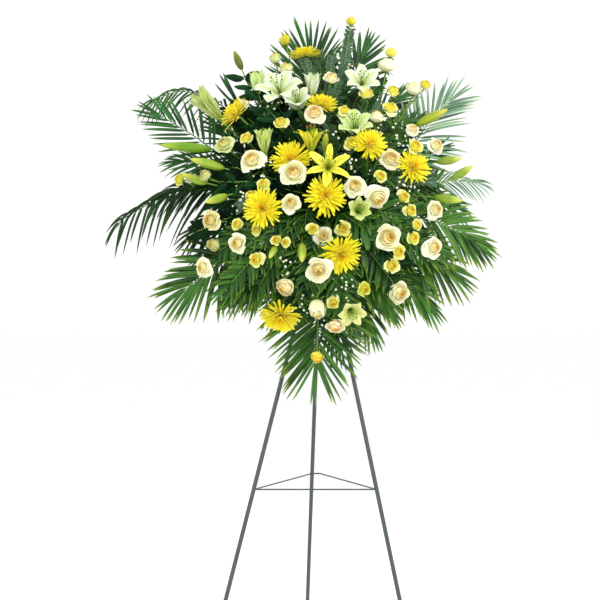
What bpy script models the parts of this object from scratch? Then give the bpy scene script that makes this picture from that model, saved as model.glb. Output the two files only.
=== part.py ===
"""Standing funeral spray: palm fronds and yellow and cream flowers in a block of wet foam, on a steel tripod.

Metres, +Z up. The origin is on the floor, under the middle of the whole object, and the front faces -Y.
The flowers are placed in the plane of the two front legs, which leans back: s runs right, t runs up along
the legs and n runs out to the front, all from the point where the lines of the three legs meet.
"""

import math

import bmesh
import bpy
import numpy as np
from mathutils import Matrix, Vector
from mathutils.bvhtree import BVHTree

# Stand
APEX = (0.0617, -0.0083, 1.160)
FRONT_REACH = 0.270
REAR_REACH = 0.320
LEFT_SPREAD = 0.295
RIGHT_SPREAD = 0.236
REAR_SHIFT = -0.038
LEG_RADIUS = 0.0055
LEG_TOP_DROP = 0.036
BRACE_HEIGHT = 0.464
BRACE_RADIUS = 0.0021
BRACE_BEND = 0.022
GAP = 0.0003
BRACE_INSET = LEG_RADIUS + 3 * GAP
LEAN = math.atan2(FRONT_REACH, APEX[2])

# Head bracket, tray and foam, in s, t and n
BLOCK_LOW = (-0.032, -0.074, -0.050)
BLOCK_HIGH = (0.028, -0.030, 0.010)
SOCKET_DROP = 0.110
STRIP_HALF_WIDTH = 0.012
STRIP_TOP = 0.095
STRIP_THICKNESS = 0.004
TRAY_WALL = 0.002
TRAY_RIM = 0.014
FOAM_CENTRE = (-0.005, 0.020)
FOAM_WIDTH = 0.200
FOAM_HEIGHT = 0.220
FOAM_DEPTH = 0.080
TAPE_HEIGHT = 0.014
TAPE_THICKNESS = 0.0008
TRAY_BACK = BLOCK_HIGH[2] + GAP
FOAM_BACK = TRAY_BACK + TRAY_WALL + GAP
FOAM_FRONT = FOAM_BACK + FOAM_DEPTH

# Stalks and their holes
HOLE_DEPTH = 0.028
HOLE_SPACING = (0.030, 0.034)
HOLE_ROWS = 6
HOLE_SIDES = 4
STALK_RADIUS = 0.0032
STALK_REACH = 0.026
FROND_HOLE_RADIUS = 0.0052
HOLE_CLEARANCE = 0.0004
ROOM = 0.0009
TEST_STEP = 0.0025
BEHIND = 1e-7
BRANCH_SINK = 0.003
STEM_RADIUS = {
    "mum": 0.0030,
    "rose": 0.0030,
    "spray": 0.0021,
    "lily": 0.0034,
    "bud": 0.0026,
    "floret": 0.0012,
}
# A stem's curve, as shares of its reach: how it rises, how it meets its head, and how far it may bow aside
RISE_SHARE = 0.12
APPROACH_SHARE = 0.30
BOWED_APPROACH = 0.22
BOWS = (0.06, 0.12, 0.20, 0.30, 0.42)

# The dome that the flower heads lie on
DOME_EDGE = 0.075
DOME_RISE = 0.185
DOME_CENTRE = (-0.010, 0.030)
DOME_REACH = (0.420, 0.560, 0.440)

COLOURS = {
    "painted_steel": ((0.075, 0.095, 0.092), 0.45, 0.6),
    "tray_plastic": ((0.020, 0.060, 0.030), 0.5, 0.0),
    "wet_foam": ((0.030, 0.110, 0.045), 0.95, 0.0),
    "tape": ((0.030, 0.120, 0.050), 0.6, 0.0),
    "mum_petal": ((0.90, 0.62, 0.01), 0.6, 0.0),
    "cream_petal": ((0.88, 0.82, 0.60), 0.6, 0.0),
    "yellow_petal": ((0.90, 0.60, 0.04), 0.6, 0.0),
    "lily_petal": ((0.70, 0.78, 0.45), 0.5, 0.0),
    "bud_skin": ((0.45, 0.60, 0.10), 0.5, 0.0),
    "palm_leaf": ((0.030, 0.160, 0.035), 0.5, 0.0),
    "soft_leaf": ((0.060, 0.220, 0.060), 0.5, 0.0),
    "dark_leaf": ((0.020, 0.090, 0.025), 0.4, 0.0),
    "white_floret": ((0.88, 0.90, 0.82), 0.7, 0.0),
}

# Flower heads: s, t, width across the petals, and how far the head stands out of the dome
MUMS = {
    "mum_top": (-0.044, 0.435, 0.092, -0.040),
    "mum_upper_left": (-0.222, 0.245, 0.096, 0.005),
    "mum_upper_centre": (-0.003, 0.262, 0.090, -0.020),
    "mum_left_centre": (-0.085, 0.120, 0.112, -0.025),
    "mum_upper_right": (0.123, 0.147, 0.098, 0.000),
    "mum_right": (0.244, 0.097, 0.094, 0.010),
    "mum_left_low": (-0.152, -0.025, 0.110, 0.000),
    "mum_centre": (0.006, -0.003, 0.112, 0.000),
    "mum_low_centre": (0.047, -0.139, 0.112, 0.004),
    "mum_bottom": (-0.106, -0.288, 0.110, 0.005),
}
CREAM_ROSES = {
    "cream_roses_top": {
        "a": (-0.094, 0.386, 0.040, -0.020),
        "b": (-0.124, 0.423, 0.034, -0.020),
        "c": (0.025, 0.338, 0.042, 0.005),
    },
    "cream_roses_top_right": {
        "a": (0.174, 0.399, 0.050, 0.000),
        "b": (0.245, 0.332, 0.052, 0.010),
    },
    "cream_roses_right": {
        "a": (0.142, 0.231, 0.050, -0.005),
        "b": (0.178, 0.116, 0.060, -0.005),
        "c": (0.240, 0.209, 0.040, 0.000),
        "d": (0.302, 0.171, 0.050, 0.010),
    },
    "cream_roses_centre": {
        "a": (-0.020, 0.225, 0.058, 0.020),
        "b": (-0.074, 0.064, 0.070, 0.020),
        "c": (-0.081, -0.016, 0.052, 0.000),
        "d": (0.003, -0.096, 0.052, -0.020),
    },
    "cream_roses_left": {
        "a": (-0.175, 0.105, 0.068, 0.005),
        "b": (-0.255, 0.161, 0.056, 0.010),
        "c": (-0.305, 0.084, 0.034, 0.000),
    },
    "cream_roses_low_left": {
        "a": (-0.289, -0.042, 0.056, 0.010),
        "b": (-0.281, -0.103, 0.036, 0.000),
        "c": (-0.309, -0.158, 0.054, 0.010),
        "d": (-0.219, -0.109, 0.054, 0.005),
    },
    "cream_roses_low_right": {
        "a": (0.295, -0.010, 0.054, 0.010),
        "b": (0.290, -0.108, 0.058, 0.010),
        "c": (0.167, -0.099, 0.076, 0.010),
        "d": (0.082, 0.029, 0.060, 0.005),
        "e": (0.141, -0.001, 0.068, 0.005),
    },
    "cream_roses_bottom": {
        "a": (-0.011, -0.182, 0.068, 0.038),
        "b": (-0.095, -0.224, 0.052, 0.010),
        "c": (-0.014, -0.275, 0.046, 0.005),
        "d": (0.033, -0.315, 0.050, 0.005),
        "e": (0.198, -0.229, 0.058, 0.010),
    },
}
SPRAY_ROSES = {
    "spray_roses_top": {
        "a": (0.082, 0.548, 0.032, 0.000),
        "b": (-0.097, 0.476, 0.032, 0.000),
        "c": (0.188, 0.447, 0.036, 0.000),
        "d": (0.190, 0.317, 0.040, 0.000),
        "e": (0.116, 0.299, 0.042, 0.000),
        "f": (0.280, 0.358, 0.032, 0.000),
    },
    "spray_roses_upper": {
        "a": (-0.101, 0.202, 0.042, 0.000),
        "b": (-0.197, 0.172, 0.038, 0.000),
        "c": (0.057, 0.240, 0.034, 0.005),
        "d": (0.076, 0.150, 0.044, -0.015),
        "e": (0.180, 0.264, 0.046, 0.000),
        "f": (0.149, 0.062, 0.038, 0.000),
    },
    "spray_roses_right": {
        "a": (0.242, 0.148, 0.050, 0.030),
        "b": (0.228, -0.020, 0.040, 0.000),
        "c": (0.210, 0.013, 0.040, 0.000),
        "d": (0.245, -0.055, 0.034, 0.000),
        "e": (0.235, -0.089, 0.042, 0.000),
        "f": (0.196, -0.131, 0.042, 0.010),
        "g": (0.179, -0.164, 0.044, 0.000),
    },
    "spray_roses_left": {
        "a": (-0.152, 0.043, 0.036, -0.010),
        "b": (-0.184, 0.016, 0.036, -0.015),
        "c": (-0.376, 0.090, 0.038, 0.000),
        "d": (-0.219, -0.059, 0.036, 0.000),
        "e": (-0.170, -0.076, 0.032, -0.010),
        "f": (-0.170, -0.152, 0.044, 0.000),
        "g": (-0.118, -0.108, 0.032, 0.000),
    },
    "spray_roses_low": {
        "a": (-0.024, -0.084, 0.036, 0.000),
        "b": (0.053, -0.079, 0.046, -0.010),
        "c": (-0.085, -0.113, 0.028, 0.000),
        "d": (0.028, -0.260, 0.040, 0.000),
        "e": (0.108, -0.225, 0.040, 0.000),
        "f": (-0.013, -0.385, 0.038, 0.000),
    },
}
# Lilies: as above, then how far the flower is closed, from 0, wide open, to 1, a trumpet
LILIES = {
    "lilies_top_left": {
        "a": (-0.112, 0.321, 0.112, 0.000, 0.15),
        "b": (-0.169, 0.338, 0.062, 0.000, 0.85),
    },
    "lilies_top": {
        "a": (-0.065, 0.272, 0.080, 0.000, 0.45),
        "b": (-0.026, 0.326, 0.064, -0.010, 0.80),
    },
    "lilies_top_right": {
        "a": (0.107, 0.346, 0.090, 0.000, 0.35),
        "b": (0.084, 0.203, 0.096, -0.010, 0.50),
    },
    "lily_yellow": {
        "a": (0.004, 0.074, 0.132, 0.030, 0.00),
        "b": (-0.029, 0.160, 0.100, 0.000, 0.55),
    },
    "lilies_low": {
        "a": (0.092, -0.030, 0.072, -0.010, 0.60),
        "b": (0.074, -0.283, 0.074, 0.000, 0.60),
    },
    "lilies_left": {
        "a": (-0.149, 0.159, 0.052, 0.000, 1.00),
        "b": (-0.304, 0.292, 0.062, 0.000, 1.00),
    },
}
# Closed lily buds: s, t, length, stand-out, and the way the tip points in s, t and n
LILY_BUDS = {
    "lily_buds_left": {
        "a": (-0.367, 0.179, 0.130, 0.000, (-1.0, 0.05, 0.1)),
        "b": (-0.302, 0.115, 0.115, 0.000, (-1.0, 0.30, 0.1)),
        "c": (-0.333, 0.084, 0.075, -0.010, (-1.0, 0.35, 0.1)),
        "d": (-0.275, 0.011, 0.080, 0.010, (-1.0, -0.45, 0.4)),
        "e": (-0.223, 0.422, 0.060, 0.000, (-0.4, 1.0, 0.1)),
    },
    "lily_buds_right": {
        "a": (0.298, 0.254, 0.080, 0.000, (1.0, 0.45, 0.1)),
        "b": (0.372, 0.113, 0.070, 0.000, (1.0, 0.60, 0.1)),
        "c": (0.336, 0.138, 0.070, 0.000, (1.0, 0.10, 0.2)),
        "d": (0.330, 0.028, 0.080, 0.000, (1.0, -0.20, 0.2)),
    },
    "lily_buds_centre": {
        "a": (-0.052, -0.140, 0.070, 0.000, (0.0, -1.0, 0.5)),
        "b": (-0.126, -0.137, 0.045, 0.000, (-0.5, -1.0, 0.4)),
        "c": (0.008, 0.144, 0.045, 0.010, (0.1, 1.0, 0.6)),
    },
}
# Heads that don't look straight out of the dome: the way they face, in s, t and n
TURNED = {
    "mum_top": (-0.1, 1.0, 0.35),
    "mum_upper_left": (-0.9, 0.7, 0.7),
    "mum_upper_centre": (0.0, 0.9, 0.8),
    "mum_bottom": (-0.1, -0.5, 1.0),
    "cream_roses_top_right.a": (0.1, 1.0, 0.3),
    "cream_roses_top_right.b": (0.2, 1.0, 0.5),
    "cream_roses_right.a": (0.1, 0.9, 0.6),
    "cream_roses_bottom.b": (-0.6, -0.7, 0.7),
    "cream_roses_bottom.c": (0.0, -1.0, 0.3),
    "cream_roses_bottom.d": (0.0, -1.0, 0.5),
    "spray_roses_top.a": (0.0, 1.0, 0.3),
    "spray_roses_top.b": (-0.2, 1.0, 0.3),
    "spray_roses_top.c": (0.2, 1.0, 0.3),
    "spray_roses_low.f": (0.0, -1.0, 0.4),
    "lilies_top_left.b": (-0.1, 1.0, 0.2),
    "lilies_top.b": (0.0, 1.0, 0.3),
    "lilies_top_right.a": (0.2, 1.0, 0.5),
    "lilies_top_right.b": (0.1, 1.0, 0.5),
    "lily_yellow.b": (0.0, 1.0, 0.5),
    "lilies_low.b": (0.2, -1.0, 0.4),
    "lilies_left.a": (-0.1, 1.0, 0.4),
    "lilies_left.b": (-0.65, 0.65, 0.25),
}
# Fronds: foam side, place along it, rachis points in s, t and n, leaflet length, pairs, bare share
FRONDS = {
    "frond_upper_left": (
        "left", 0.084,
        ((-0.20, 0.120, 0.060), (-0.325, 0.225, 0.062), (-0.421, 0.305, 0.050), (-0.500, 0.352, 0.030)),
        0.155, 10, 0.40,
    ),
    "frond_left_arch": (
        "top", -0.060,
        ((-0.150, 0.220, 0.035), (-0.270, 0.335, 0.022), (-0.380, 0.380, 0.012), (-0.480, 0.345, 0.000)),
        0.110, 8, 0.45,
    ),
    "frond_left_blades": (
        "top", -0.030,
        ((-0.110, 0.240, 0.070), (-0.200, 0.320, 0.068), (-0.262, 0.378, 0.060)),
        0.100, 5, 0.50,
    ),
    "frond_left": (
        "left", 0.060,
        ((-0.200, 0.090, 0.085), (-0.300, 0.140, 0.090), (-0.440, 0.150, 0.075)),
        0.090, 7, 0.40,
    ),
    "frond_left_drooping": (
        "left", 0.030,
        ((-0.200, 0.060, 0.050), (-0.368, 0.095, 0.045), (-0.501, 0.026, 0.035), (-0.569, -0.039, 0.030)),
        0.105, 10, 0.35,
    ),
    "frond_lower_left": (
        "left", -0.030,
        ((-0.200, -0.080, 0.060), (-0.300, -0.155, 0.055), (-0.430, -0.235, 0.040)),
        0.125, 9, 0.30,
    ),
    "frond_bottom_left": (
        "bottom", -0.070,
        ((-0.130, -0.140, 0.085), (-0.200, -0.220, 0.088), (-0.222, -0.270, 0.080)),
        0.110, 7, 0.25,
    ),
    "frond_bottom": (
        "bottom", -0.020,
        ((-0.015, -0.180, 0.070), (-0.012, -0.320, 0.062), (-0.016, -0.450, 0.045)),
        0.165, 10, 0.25,
    ),
    "frond_bottom_right": (
        "bottom", 0.030,
        ((0.090, -0.150, 0.100), (0.150, -0.220, 0.100), (0.185, -0.280, 0.090)),
        0.105, 7, 0.30,
    ),
    "frond_lower_right": (
        "right", -0.060,
        ((0.170, -0.060, 0.055), (0.300, -0.130, 0.050), (0.400, -0.188, 0.035)),
        0.130, 9, 0.30,
    ),
    "frond_right": (
        "right", -0.024,
        ((0.200, 0.005, 0.085), (0.316, -0.006, 0.080), (0.442, -0.058, 0.060)),
        0.105, 9, 0.35,
    ),
    "frond_right_arch": (
        "right", 0.030,
        ((0.180, 0.060, 0.040), (0.330, 0.118, 0.028), (0.430, 0.110, 0.012)),
        0.110, 8, 0.40,
    ),
    "frond_upper_right": (
        "right", 0.070,
        ((0.170, 0.130, 0.060), (0.290, 0.240, 0.055), (0.410, 0.325, 0.030)),
        0.130, 8, 0.40,
    ),
    "frond_top_right": (
        "top", 0.040,
        ((0.060, 0.240, 0.075), (0.090, 0.360, 0.070), (0.150, 0.470, 0.055)),
        0.115, 7, 0.45,
    ),
    "frond_top": (
        "top", 0.000,
        ((-0.010, 0.240, 0.050), (-0.026, 0.380, 0.040), (-0.038, 0.500, 0.020)),
        0.140, 8, 0.40,
    ),
}
# Leafy stems between the flowers: where they come up and end, in s and t, and how deep they lie
VARIEGATED_STEMS = {
    "a": ((0.090, 0.180), (0.165, 0.290), 0.022),
    "b": ((0.200, 0.060), (0.320, 0.075), 0.020),
    "c": ((0.020, 0.330), (0.030, 0.480), 0.022),
    "d": ((-0.150, 0.020), (-0.250, -0.015), 0.022),
}
FOLIAGE_BARE = 0.45
VARIEGATED_LEAF = (0.036, 0.015, 4)
BROAD_LEAF = (0.075, 0.034, 2)
BROAD_STEMS = {
    "a": ((-0.120, 0.220), (-0.225, 0.350), 0.026),
    "b": ((-0.170, 0.060), (-0.285, 0.070), 0.026),
    "c": ((-0.070, -0.200), (-0.060, -0.330), 0.026),
    "d": ((0.150, -0.100), (0.230, -0.170), 0.030),
}
# Baby's breath: where each sprig of florets ends, in s and t
FLORET_SPRIGS = {
    "a": (0.052, -0.222),
    "b": (0.068, 0.095),
    "c": (0.190, 0.200),
    "d": (-0.090, -0.170),
    "e": (0.030, 0.180),
}
FLORETS = 3
FLORET_RADIUS = 0.0055
FLORET_REACH = 0.022
FLORET_LIFT = 0.004
FROND_ROOT_SHARE = 0.40
FROND_THICK = 0.0030
FOLIAGE_THICK = 0.0024
LEAFLET_WIDTH = 0.0125
LEAFLET_RIDGE = 0.0014
DOWN = np.array((0.0, -math.cos(LEAN), -math.sin(LEAN)))


def unit(v):
    """The vector at length one."""
    v = np.asarray(v, float)
    return v / np.linalg.norm(v)


def dome_height(s, t):
    """How far in front of the leg plane the dome of flower heads lies: a paraboloid over a flat edge."""
    reach_t = DOME_REACH[1] if t > DOME_CENTRE[1] else DOME_REACH[2]
    share = ((s - DOME_CENTRE[0]) / DOME_REACH[0]) ** 2 + ((t - DOME_CENTRE[1]) / reach_t) ** 2
    return DOME_EDGE + DOME_RISE * max(0.0, 1.0 - share)


def head_place(row):
    """Centre of a flower head from its table row."""
    s, t, _, lift = row[:4]
    return np.array((s, t, dome_height(s, t) + lift))


def head_axis(key, place):
    """The way a head faces: out from a point behind the foam, unless the table turns it."""
    if key in TURNED:
        return unit(TURNED[key])
    return unit(place + (0.0, 0.0, 0.12))


def turn_to(axis, spin=0.0):
    """Rotation that takes z to the axis, after a turn about z."""
    quaternion = Vector((0.0, 0.0, 1.0)).rotation_difference(Vector(axis))
    return np.array(quaternion.to_matrix() @ Matrix.Rotation(spin, 3, "Z"))


class Surroundings:
    """Every finished surface so far, so that the next one can be tested against it."""

    def __init__(self):
        self.points = []
        self.faces = []
        self.owners = []
        self.tree = None

    def add(self, points, faces, owner):
        first = len(self.points)
        self.points.extend(map(tuple, points))
        self.faces.extend(tuple(first + i for i in face) for face in faces)
        self.owners.extend([owner] * len(faces))
        self.tree = None

    def refresh(self):
        if self.tree is None:
            self.tree = BVHTree.FromPolygons(self.points, self.faces)

    def near(self, places, distance, ignore):
        """Whether any place is nearer than the distance to a surface whose owner isn't ignored."""
        self.refresh()
        for place in places:
            hits = self.tree.find_nearest_range(Vector(place), distance)
            if any(self.owners[hit[2]] not in ignore for hit in hits):
                return True
        return False

    def crossed(self, points, faces, ignore):
        """Whether these faces cross a surface whose owner isn't ignored."""
        self.refresh()
        tree = BVHTree.FromPolygons([tuple(p) for p in points], faces)
        return any(self.owners[pair[1]] not in ignore for pair in tree.overlap(self.tree))


def closed_rows(rows):
    """Points and triangles of a closed surface through rows of points, the first and last of one point.

    Equal points are merged, so a row may hold fewer corners than its neighbours.
    """
    columns = max(len(row) for row in rows)
    grid = np.array([np.resize(row, (columns, 3)) if len(row) == 1 else row for row in rows])
    points, index = np.unique(np.round(grid.reshape(-1, 3), 7), axis=0, return_inverse=True)
    index = index.reshape(len(rows), columns)
    a, b = index[:-1], np.roll(index[:-1], -1, axis=1)
    c, d = np.roll(index[1:], -1, axis=1), index[1:]
    faces = np.concatenate([np.stack([a, b, c], -1).reshape(-1, 3), np.stack([a, c, d], -1).reshape(-1, 3)])
    distinct = (faces[:, 0] != faces[:, 1]) & (faces[:, 1] != faces[:, 2]) & (faces[:, 0] != faces[:, 2])
    return points, [tuple(int(i) for i in face) for face in faces[distinct]]


def ring(radius, height, angle):
    """One row of points from its radii, heights and angles, each one number or one for each column."""
    radius, height, angle = np.broadcast_arrays(radius, height, angle)
    return np.stack([radius * np.cos(angle), radius * np.sin(angle), height], -1)


def petal_rows(layers, petals, base, top, rng):
    """Rows of a flower whose petal layers alternate: each layer is tip and valley (radius, height) and the
    groove (radius, height) inside it. Odd layers have their tips over the valleys of even ones."""
    columns = np.arange(2 * petals)
    angle = math.pi * columns / petals
    rows = [np.array([(0.0, 0.0, base)])]
    for level, (tip, valley, groove) in enumerate(layers):
        is_tip = columns % 2 == level % 2
        length = 1.0 + 0.06 * rng.uniform(-1.0, 1.0, 2 * petals)
        radius = np.where(is_tip, tip[0] * length, valley[0])
        height = np.where(is_tip, tip[1], valley[1])
        rows.append(ring(radius, height, angle))
        if groove:
            paired = math.pi * (columns - (columns + level + 1) % 2) / petals
            rows.append(ring(groove[0], groove[1], paired))
    rows.append(np.array([(0.0, 0.0, top)]))
    return rows


def mum_rows(rng):
    """A spider chrysanthemum of unit radius: four layers of narrow petals, steeper towards the middle."""
    layers = (
        ((1.00, -0.02), (0.42, -0.03), (0.31, 0.03)),
        ((0.87, 0.17), (0.35, 0.08), (0.25, 0.15)),
        ((0.66, 0.32), (0.27, 0.19), (0.15, 0.25)),
        ((0.38, 0.42), (0.16, 0.28), None),
    )
    return petal_rows(layers, 10, -0.13, 0.33, rng)


def rose_rows(rng):
    """A rose of unit radius: three layers of five petals round a sunken heart, on a tapered calyx."""
    layers = (
        ((0.97, 0.02), (0.84, -0.08), (0.66, 0.10)),
        ((0.76, 0.34), (0.64, 0.22), (0.45, 0.28)),
        ((0.48, 0.48), (0.38, 0.38), None),
    )
    return petal_rows(layers, 5, -0.66, 0.30, rng)


def spray_rose_rows(rng):
    """A small rose of unit radius: two layers of four petals round a sunken heart."""
    layers = (
        ((0.97, 0.08), (0.84, -0.06), (0.66, 0.12)),
        ((0.68, 0.42), (0.56, 0.30), None),
    )
    return petal_rows(layers, 4, -0.72, 0.26, rng)


def lily_rows(closed):
    """A lily of unit radius: six pointed tepals, folded along the middle, that rise from a narrow neck.

    A closed share of 0 lays them out flat and recurved, and 1 stands them up as a trumpet.
    """
    columns = np.arange(24)
    role = columns % 4
    angle = 2.0 * math.pi * columns / 24
    spread = math.atan2(0.20, 0.56)
    at_tip = 2.0 * math.pi * np.round(columns / 4.0) * 4 / 24
    outline_angle = np.where(role == 1, at_tip + spread, np.where(role == 3, at_tip - spread, angle))
    outline_radius = np.select([role == 0, role == 2], [1.0, 0.17], 0.60)
    outline_height = np.select([role == 0, role == 2], [-0.05, -0.20], -0.05)
    keel = np.where(role == 2, 0.17, 0.50)
    keel_height = np.where(role == 2, -0.20, -0.23)
    keel_angle = np.where(role == 2, angle, at_tip)
    neck_angle = 2.0 * math.pi * (np.floor(columns / 4.0) * 4 + 2) / 24

    def raised(radius, height):
        return radius * (1.0 - 0.45 * closed), height + 1.15 * closed * radius

    rows = [
        np.array([(0.0, 0.0, -0.60 - 0.5 * closed)]),
        ring(0.11, -0.44 - 0.3 * closed, neck_angle),
        ring(*raised(keel, keel_height), keel_angle),
        ring(*raised(outline_radius, outline_height), outline_angle),
        np.array([(0.0, 0.0, -0.27)]),
    ]
    return rows


def bud_rows():
    """A lily bud of unit length along z: a five-sided spindle, fullest above its middle."""
    angle = 2.0 * math.pi * np.arange(5) / 5
    return [
        np.array([(0.0, 0.0, -0.5)]),
        ring(0.075, -0.25, angle),
        ring(0.110, 0.15, angle),
        np.array([(0.0, 0.0, 0.5)]),
    ]


def smooth_path(points, count):
    """Points at even steps along a smooth curve through the given points, a Catmull-Rom spline."""
    given = np.asarray(points, float)
    ends = np.vstack([2 * given[0] - given[1], given, 2 * given[-1] - given[-2]])
    u = np.linspace(0.0, 1.0, 24, endpoint=False)[:, None]
    pieces = []
    for p0, p1, p2, p3 in zip(ends[:-3], ends[1:-2], ends[2:-1], ends[3:]):
        second = 2 * p0 - 5 * p1 + 4 * p2 - p3
        third = 3 * p1 - p0 - 3 * p2 + p3
        pieces.append(0.5 * (2 * p1 + (p2 - p0) * u + second * u**2 + third * u**3))
    fine = np.vstack(pieces + [given[-1:]])
    steps = np.linalg.norm(np.diff(fine, axis=0), axis=1)
    run = np.concatenate([[0.0], np.cumsum(steps)])
    wanted = np.linspace(0.0, run[-1], count) if np.isscalar(count) else np.asarray(count) * run[-1]
    return np.stack([np.interp(wanted, run, fine[:, k]) for k in range(3)], -1)


def smooth_steps(route, count):
    """Points at even steps along straight runs between the points of a route."""
    steps = np.linalg.norm(np.diff(route, axis=0), axis=1)
    run = np.concatenate([[0.0], np.cumsum(steps)])
    wanted = np.linspace(0.0, run[-1], count)
    return np.stack([np.interp(wanted, run, route[:, k]) for k in range(3)], -1)


def bezier(a, b, c, d, count):
    """Points at even parameter steps along the cubic curve of four control points."""
    u = np.linspace(0.0, 1.0, count)[:, None]
    return (1 - u) ** 3 * a + 3 * (1 - u) ** 2 * u * b + 3 * (1 - u) * u**2 * c + u**3 * d


def material_named(name):
    """A Principled material with its colour, roughness and metallic value from the table."""
    if name in bpy.data.materials:
        return bpy.data.materials[name]
    colour, roughness, metallic = COLOURS[name]
    material = bpy.data.materials.new(name)
    material.use_nodes = True
    shader = material.node_tree.nodes["Principled BSDF"]
    shader.inputs["Base Color"].default_value = (*colour, 1.0)
    shader.inputs["Roughness"].default_value = roughness
    shader.inputs["Metallic"].default_value = metallic
    material.diffuse_color = (*colour, 1.0)
    return material


def outward(points, faces):
    """The faces turned so that they look out of the closed surface."""
    corners = np.asarray(points)[np.asarray(faces)]
    volume = np.einsum("ij,ij->i", corners[:, 0], np.cross(corners[:, 1], corners[:, 2])).sum()
    return faces if volume > 0 else [face[::-1] for face in faces]


def mesh_object(name, points, faces):
    """A mesh object in the model's collection."""
    mesh = bpy.data.meshes.new(name)
    mesh.from_pydata([tuple(p) for p in points], [], outward(points, faces))
    obj = bpy.data.objects.new(name, mesh)
    bpy.data.collections["standing_spray"].objects.link(obj)
    return obj


def box_object(name, low, high, bevel=0.0):
    """A box between two corners, its edges rounded by a Bevel modifier where a width is given."""
    obj = primitive_object(name, lambda bm: bmesh.ops.create_cube(bm, size=1.0))
    low, high = Vector(low), Vector(high)
    obj.data.transform(Matrix.Translation((low + high) / 2) @ Matrix.Diagonal((*(high - low), 1.0)))
    if bevel:
        modifier = obj.modifiers.new("rounded edges", "BEVEL")
        modifier.width = bevel
        modifier.segments = 2
    return obj


def primitive_object(name, make):
    """An object whose mesh one primitive call fills."""
    mesh = bpy.data.meshes.new(name)
    bm = bmesh.new()
    make(bm)
    bm.to_mesh(mesh)
    bm.free()
    obj = bpy.data.objects.new(name, mesh)
    bpy.data.collections["standing_spray"].objects.link(obj)
    return obj


def rod_object(name, start, end, radius, sides):
    """A straight rod between two points."""
    start, end = Vector(start), Vector(end)
    length = (end - start).length
    obj = primitive_object(
        name,
        lambda bm: bmesh.ops.create_cone(
            bm, cap_ends=True, segments=sides, radius1=radius, radius2=radius, depth=length
        ),
    )
    turn = Vector((0.0, 0.0, 1.0)).rotation_difference(end - start).to_matrix().to_4x4()
    obj.data.transform(Matrix.Translation((start + end) / 2) @ turn)
    return obj


def wire_object(name, points, radius):
    """A straight or bent wire: a curve with a round bevel and filled caps, made a mesh and welded."""
    curve = bpy.data.curves.new(name, "CURVE")
    curve.dimensions = "3D"
    curve.bevel_depth = radius
    curve.bevel_resolution = 1
    curve.use_fill_caps = True
    spline = curve.splines.new("POLY")
    spline.points.add(len(points) - 1)
    for knot, place in zip(spline.points, points):
        knot.co = (*place, 1.0)
    guide = bpy.data.objects.new(name + "_guide", curve)
    bpy.context.scene.collection.objects.link(guide)
    mesh = bpy.data.meshes.new_from_object(guide.evaluated_get(bpy.context.evaluated_depsgraph_get()))
    bpy.data.objects.remove(guide)
    bm = bmesh.new()
    bm.from_mesh(mesh)
    bmesh.ops.remove_doubles(bm, verts=bm.verts, dist=1e-6)
    bmesh.ops.recalc_face_normals(bm, faces=bm.faces)
    bm.to_mesh(mesh)
    bm.free()
    obj = bpy.data.objects.new(name, mesh)
    bpy.data.collections["standing_spray"].objects.link(obj)
    return obj


def apply_modifiers(obj):
    """Replaces the object's mesh by its evaluated one."""
    bpy.context.view_layer.update()
    graph = bpy.context.evaluated_depsgraph_get()
    mesh = bpy.data.meshes.new_from_object(obj.evaluated_get(graph))
    obj.modifiers.clear()
    obj.data = mesh


def join_pieces(name, pieces):
    """One solid from several: a Boolean union on a collection of the pieces, applied."""
    first, rest = pieces[0], pieces[1:]
    if rest:
        pool = bpy.data.collections.new(name + "_pieces")
        bpy.context.scene.collection.children.link(pool)
        for piece in rest:
            bpy.data.collections["standing_spray"].objects.unlink(piece)
            pool.objects.link(piece)
        modifier = first.modifiers.new("join", "BOOLEAN")
        modifier.operation = "UNION"
        modifier.operand_type = "COLLECTION"
        modifier.collection = pool
        modifier.solver = "MANIFOLD"
        apply_modifiers(first)
        for piece in rest:
            bpy.data.objects.remove(piece)
        bpy.data.collections.remove(pool)
    first.name = name
    return first


def finish_object(obj, material, parent=None):
    """Gives a finished object its material, parent and shading."""
    obj.data.materials.clear()
    obj.data.materials.append(material_named(material))
    obj.parent = parent
    obj.data.shade_smooth()
    obj.data.set_sharp_from_angle(angle=math.radians(35))
    return obj


def faces_of(obj):
    """Points and polygons of an object's own mesh."""
    points = [tuple(v.co) for v in obj.data.vertices]
    return points, [tuple(p.vertices) for p in obj.data.polygons]


def leg_line(spread, reach):
    """A leg's foot and the point that the legs' lines meet in, in the room's frame."""
    apex = np.array(APEX)
    return apex, np.array((apex[0] + spread, apex[1] + reach, 0.0))


def leg_point(line, height):
    """The point of a leg's centre line at a height."""
    apex, foot = line
    return apex + (foot - apex) * (apex[2] - height) / apex[2]


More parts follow.
